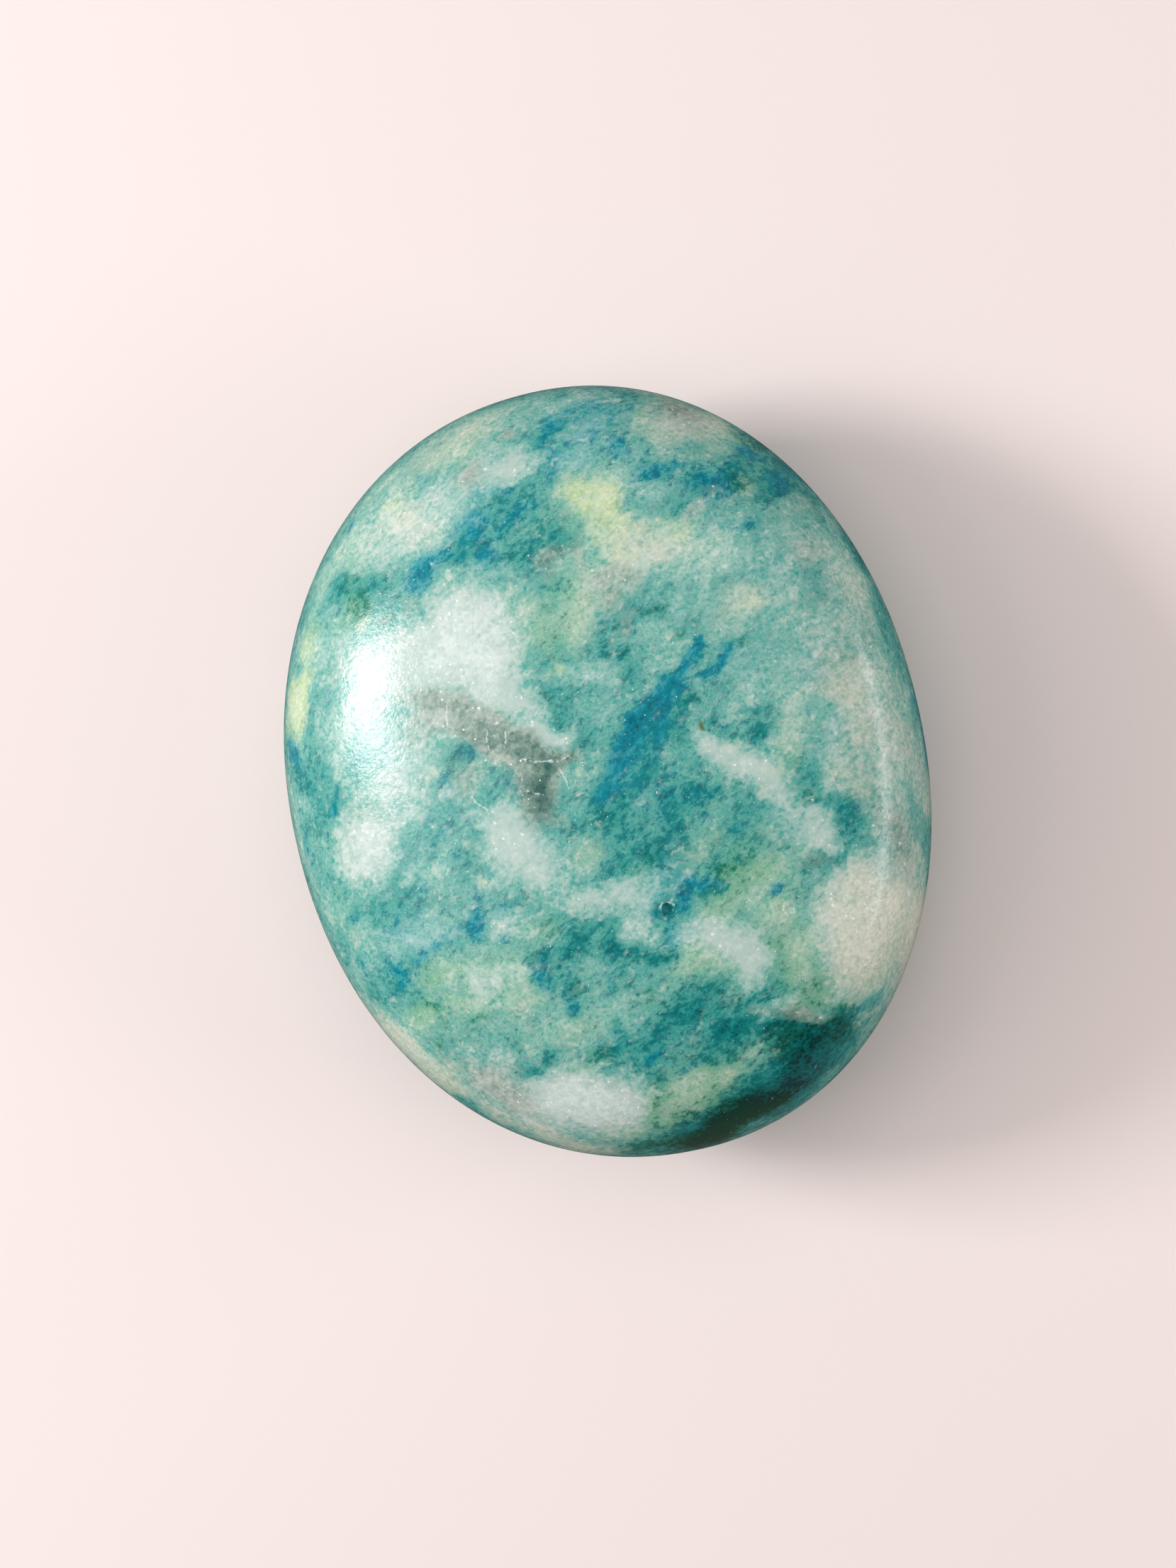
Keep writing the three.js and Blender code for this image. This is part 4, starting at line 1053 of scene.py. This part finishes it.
# %% [markdown]
# The pigment is clusters of dark grains a few tenths of a millimetre wide, close together where
# the rock is dark and rare where it is pale. Most are teal, some green or blue. Quartz and its
# stained neighbours hold few of them. In pale rock the grains lie deeper and show less.

# %% Add the pigment grains
PIGMENTS = {
    "teal": [(0.0, "#002E2A"), (0.3, "#006B6B"), (0.7, "#14928F"), (1.0, "#4DAFA5")],
    "green": [(0.0, "#06402C"), (0.35, "#146E54"), (0.7, "#2C9372"), (1.0, "#62B394")],
    "blue": [(0.0, "#004456"), (0.3, "#007284"), (0.7, "#0494A6"), (1.0, "#4FB4BE")],
}
EASE = {"interpolation_type": "SMOOTHSTEP"}
density = summed(
    0.62, pale=-1.2, quartz_share=-1.3, smoke_share=-1.0, cream_share=-0.3, yellow_share=-0.35,
    rust_share=-0.4, blue_share=0.18, drift=-0.4, clouds_3mm=-0.8, blotches=0.7, grains=2.8,
    fine=0.8, crystals=0.16,
)
most_grains = add_node(
    tree,
    "ShaderNodeMath",
    {"operation": "MINIMUM"},
    {0: summed(0.9, pale=-0.9, blue_share=0.1), 1: 0.96},
).outputs[0]
pigment_share = add_node(
    tree,
    "ShaderNodeMapRange",
    EASE,
    {"Value": density, "From Min": 0.38, "From Max": 0.94, "To Max": most_grains},
).outputs["Result"]
pigment_tone = summed(0.62, pale=0.8, blotches=-0.6, grains=-1.2, fine=0.7)
ramp = add_node(tree, "ShaderNodeValToRGB", None, {"Fac": pigment_tone}, PIGMENTS["teal"])
pigment = ramp.outputs["Color"]
for mineral in ("green", "blue"):
    ramp = add_node(tree, "ShaderNodeValToRGB", None, {"Fac": pigment_tone}, PIGMENTS[mineral])
    layers = {0: values[mineral + "_share"], 6: pigment, 7: ramp.outputs["Color"]}
    pigment = add_node(tree, "ShaderNodeMix", BLEND, layers).outputs[2]
colour = add_node(tree, "ShaderNodeMix", BLEND, {0: pigment_share, 6: wash, 7: pigment}).outputs[2]
print("pigments:", ", ".join(PIGMENTS))

# %% [markdown]
# Then come the small, light things, from large to small: the veil, which is the milky streaks of
# quartz over everything; the hairlines, cracks that quartz has filled, two of which are painted
# glints on pit rims; and the sparkles, painted glints: white dots in the colour that stand for tiny
# broken crystal faces catching the light. A sparkle is the middle of a Voronoi cell, and only
# the few cells whose random number is high enough have one, most of them in quartz and smoke.

# %% Add veil, hairlines and sparkles
sparkle_chance = summed(0.5, sparkles=1.0, quartz_share=0.22, smoke_share=0.18)
values["sparkle_size"] = add_node(
    tree,
    "ShaderNodeMapRange",
    EASE,
    {"Value": sparkle_chance, "From Min": 0.88, "From Max": 1.2, "To Max": 0.28},
).outputs["Result"]
# What each follows, where that makes it start and be full, how much it covers then, its colour
LIGHT_LAYERS = {
    "veil": (
        summed(0.0, pale=0.3, veil_streaks=1.0, grains=0.4, fine=0.2, quartz_share=-0.2),
        *(0.04, 0.26, 0.52, "#BBD9D0"),
    ),
    # light cracks, and along two pit rims painted glints
    "hairline": (summed(0.0, hairline_mm=-1.0, fine=0.25, glitter=0.1), -0.08, -0.02, 0.6, "#E3EBE7"),
    # painted glints: white dots laid into the colour
    "sparkle": (
        summed(0.0, sparkle_size=1.0, from_cell_middle=-1.0, glitter=0.7, fine=0.4),
        *(0.0, 0.06, 0.9, "#F7FBF9"),
    ),
}
for name, (follows, first, full, most, light) in LIGHT_LAYERS.items():
    sockets = {"Value": follows, "From Min": first, "From Max": full, "To Max": most}
    share = add_node(tree, "ShaderNodeMapRange", EASE, sockets).outputs["Result"]
    layers = {0: share, 6: colour, 7: linear(light)}
    colour = add_node(tree, "ShaderNodeMix", BLEND, layers).outputs[2]
print(len(tree.nodes), "nodes so far")

# %% [markdown]
# Polished rock of this kind bends light like quartz, with an index of refraction of 1.54, and a
# good hand polish gives a roughness near 0.2. The polish is not perfect: softer grains wear deeper
# than hard quartz, which leaves an orange peel of shallow lumps 0.2 to 0.5 mm wide. It is far too
# low to model, and shows only in the highlight, whose edge breaks up into glints. A little light
# also enters the rock, about a millimetre deep, which softens its grains.

# %% Finish the rock
bump_height = summed(0.0, fine=1.0, grains=1.5)
bump = add_node(
    tree,
    "ShaderNodeBump",
    None,
    {"Height": bump_height, "Distance": 0.05 * MM, "Strength": 0.35},
).outputs["Normal"]
shader = add_node(
    tree,
    "ShaderNodeBsdfPrincipled",
    {"subsurface_method": "RANDOM_WALK"},
    {
        "Base Color": colour,
        "Roughness": 0.18,
        "IOR": 1.54,
        "Normal": bump,
        "Subsurface Weight": 0.1,
        "Subsurface Radius": (0.8, 1.2, 1.1),
        "Subsurface Scale": 0.8 * MM,
    },
)
add_node(tree, "ShaderNodeOutputMaterial", None, {"Surface": shader.outputs["BSDF"]})
mesh.materials.append(rock)
print("the rock has", len(tree.nodes), "nodes")

# %% [markdown]
# The floor is matte card in a warm white. The sides of a glossy stone mirror whatever lies below
# them, and a pale floor would turn them milky. So the floor has a second, darker colour, which
# only the rays that come from a mirror see.

# %% Paint the floor
floor_paint = bpy.data.materials.new("matte_pale_floor")
floor_paint.use_nodes = True
floor_tree = floor_paint.node_tree
floor_shader = floor_tree.nodes["Principled BSDF"]
floor_shader.inputs["Roughness"].default_value = 0.8
mirrored = add_node(floor_tree, "ShaderNodeLightPath").outputs["Is Glossy Ray"]
layers = {0: mirrored, 6: linear("#F7E8E5"), 7: linear("#5A514E")}
floor_colour = add_node(floor_tree, "ShaderNodeMix", BLEND, layers).outputs[2]
floor_tree.links.new(floor_colour, floor_shader.inputs["Base Color"])
floor_mesh.materials.append(floor_paint)
print("materials:", ", ".join(material.name for material in bpy.data.materials))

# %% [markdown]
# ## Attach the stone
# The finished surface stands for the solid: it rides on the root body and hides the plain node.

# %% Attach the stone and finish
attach(stone, "root")
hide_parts("palm_stone")
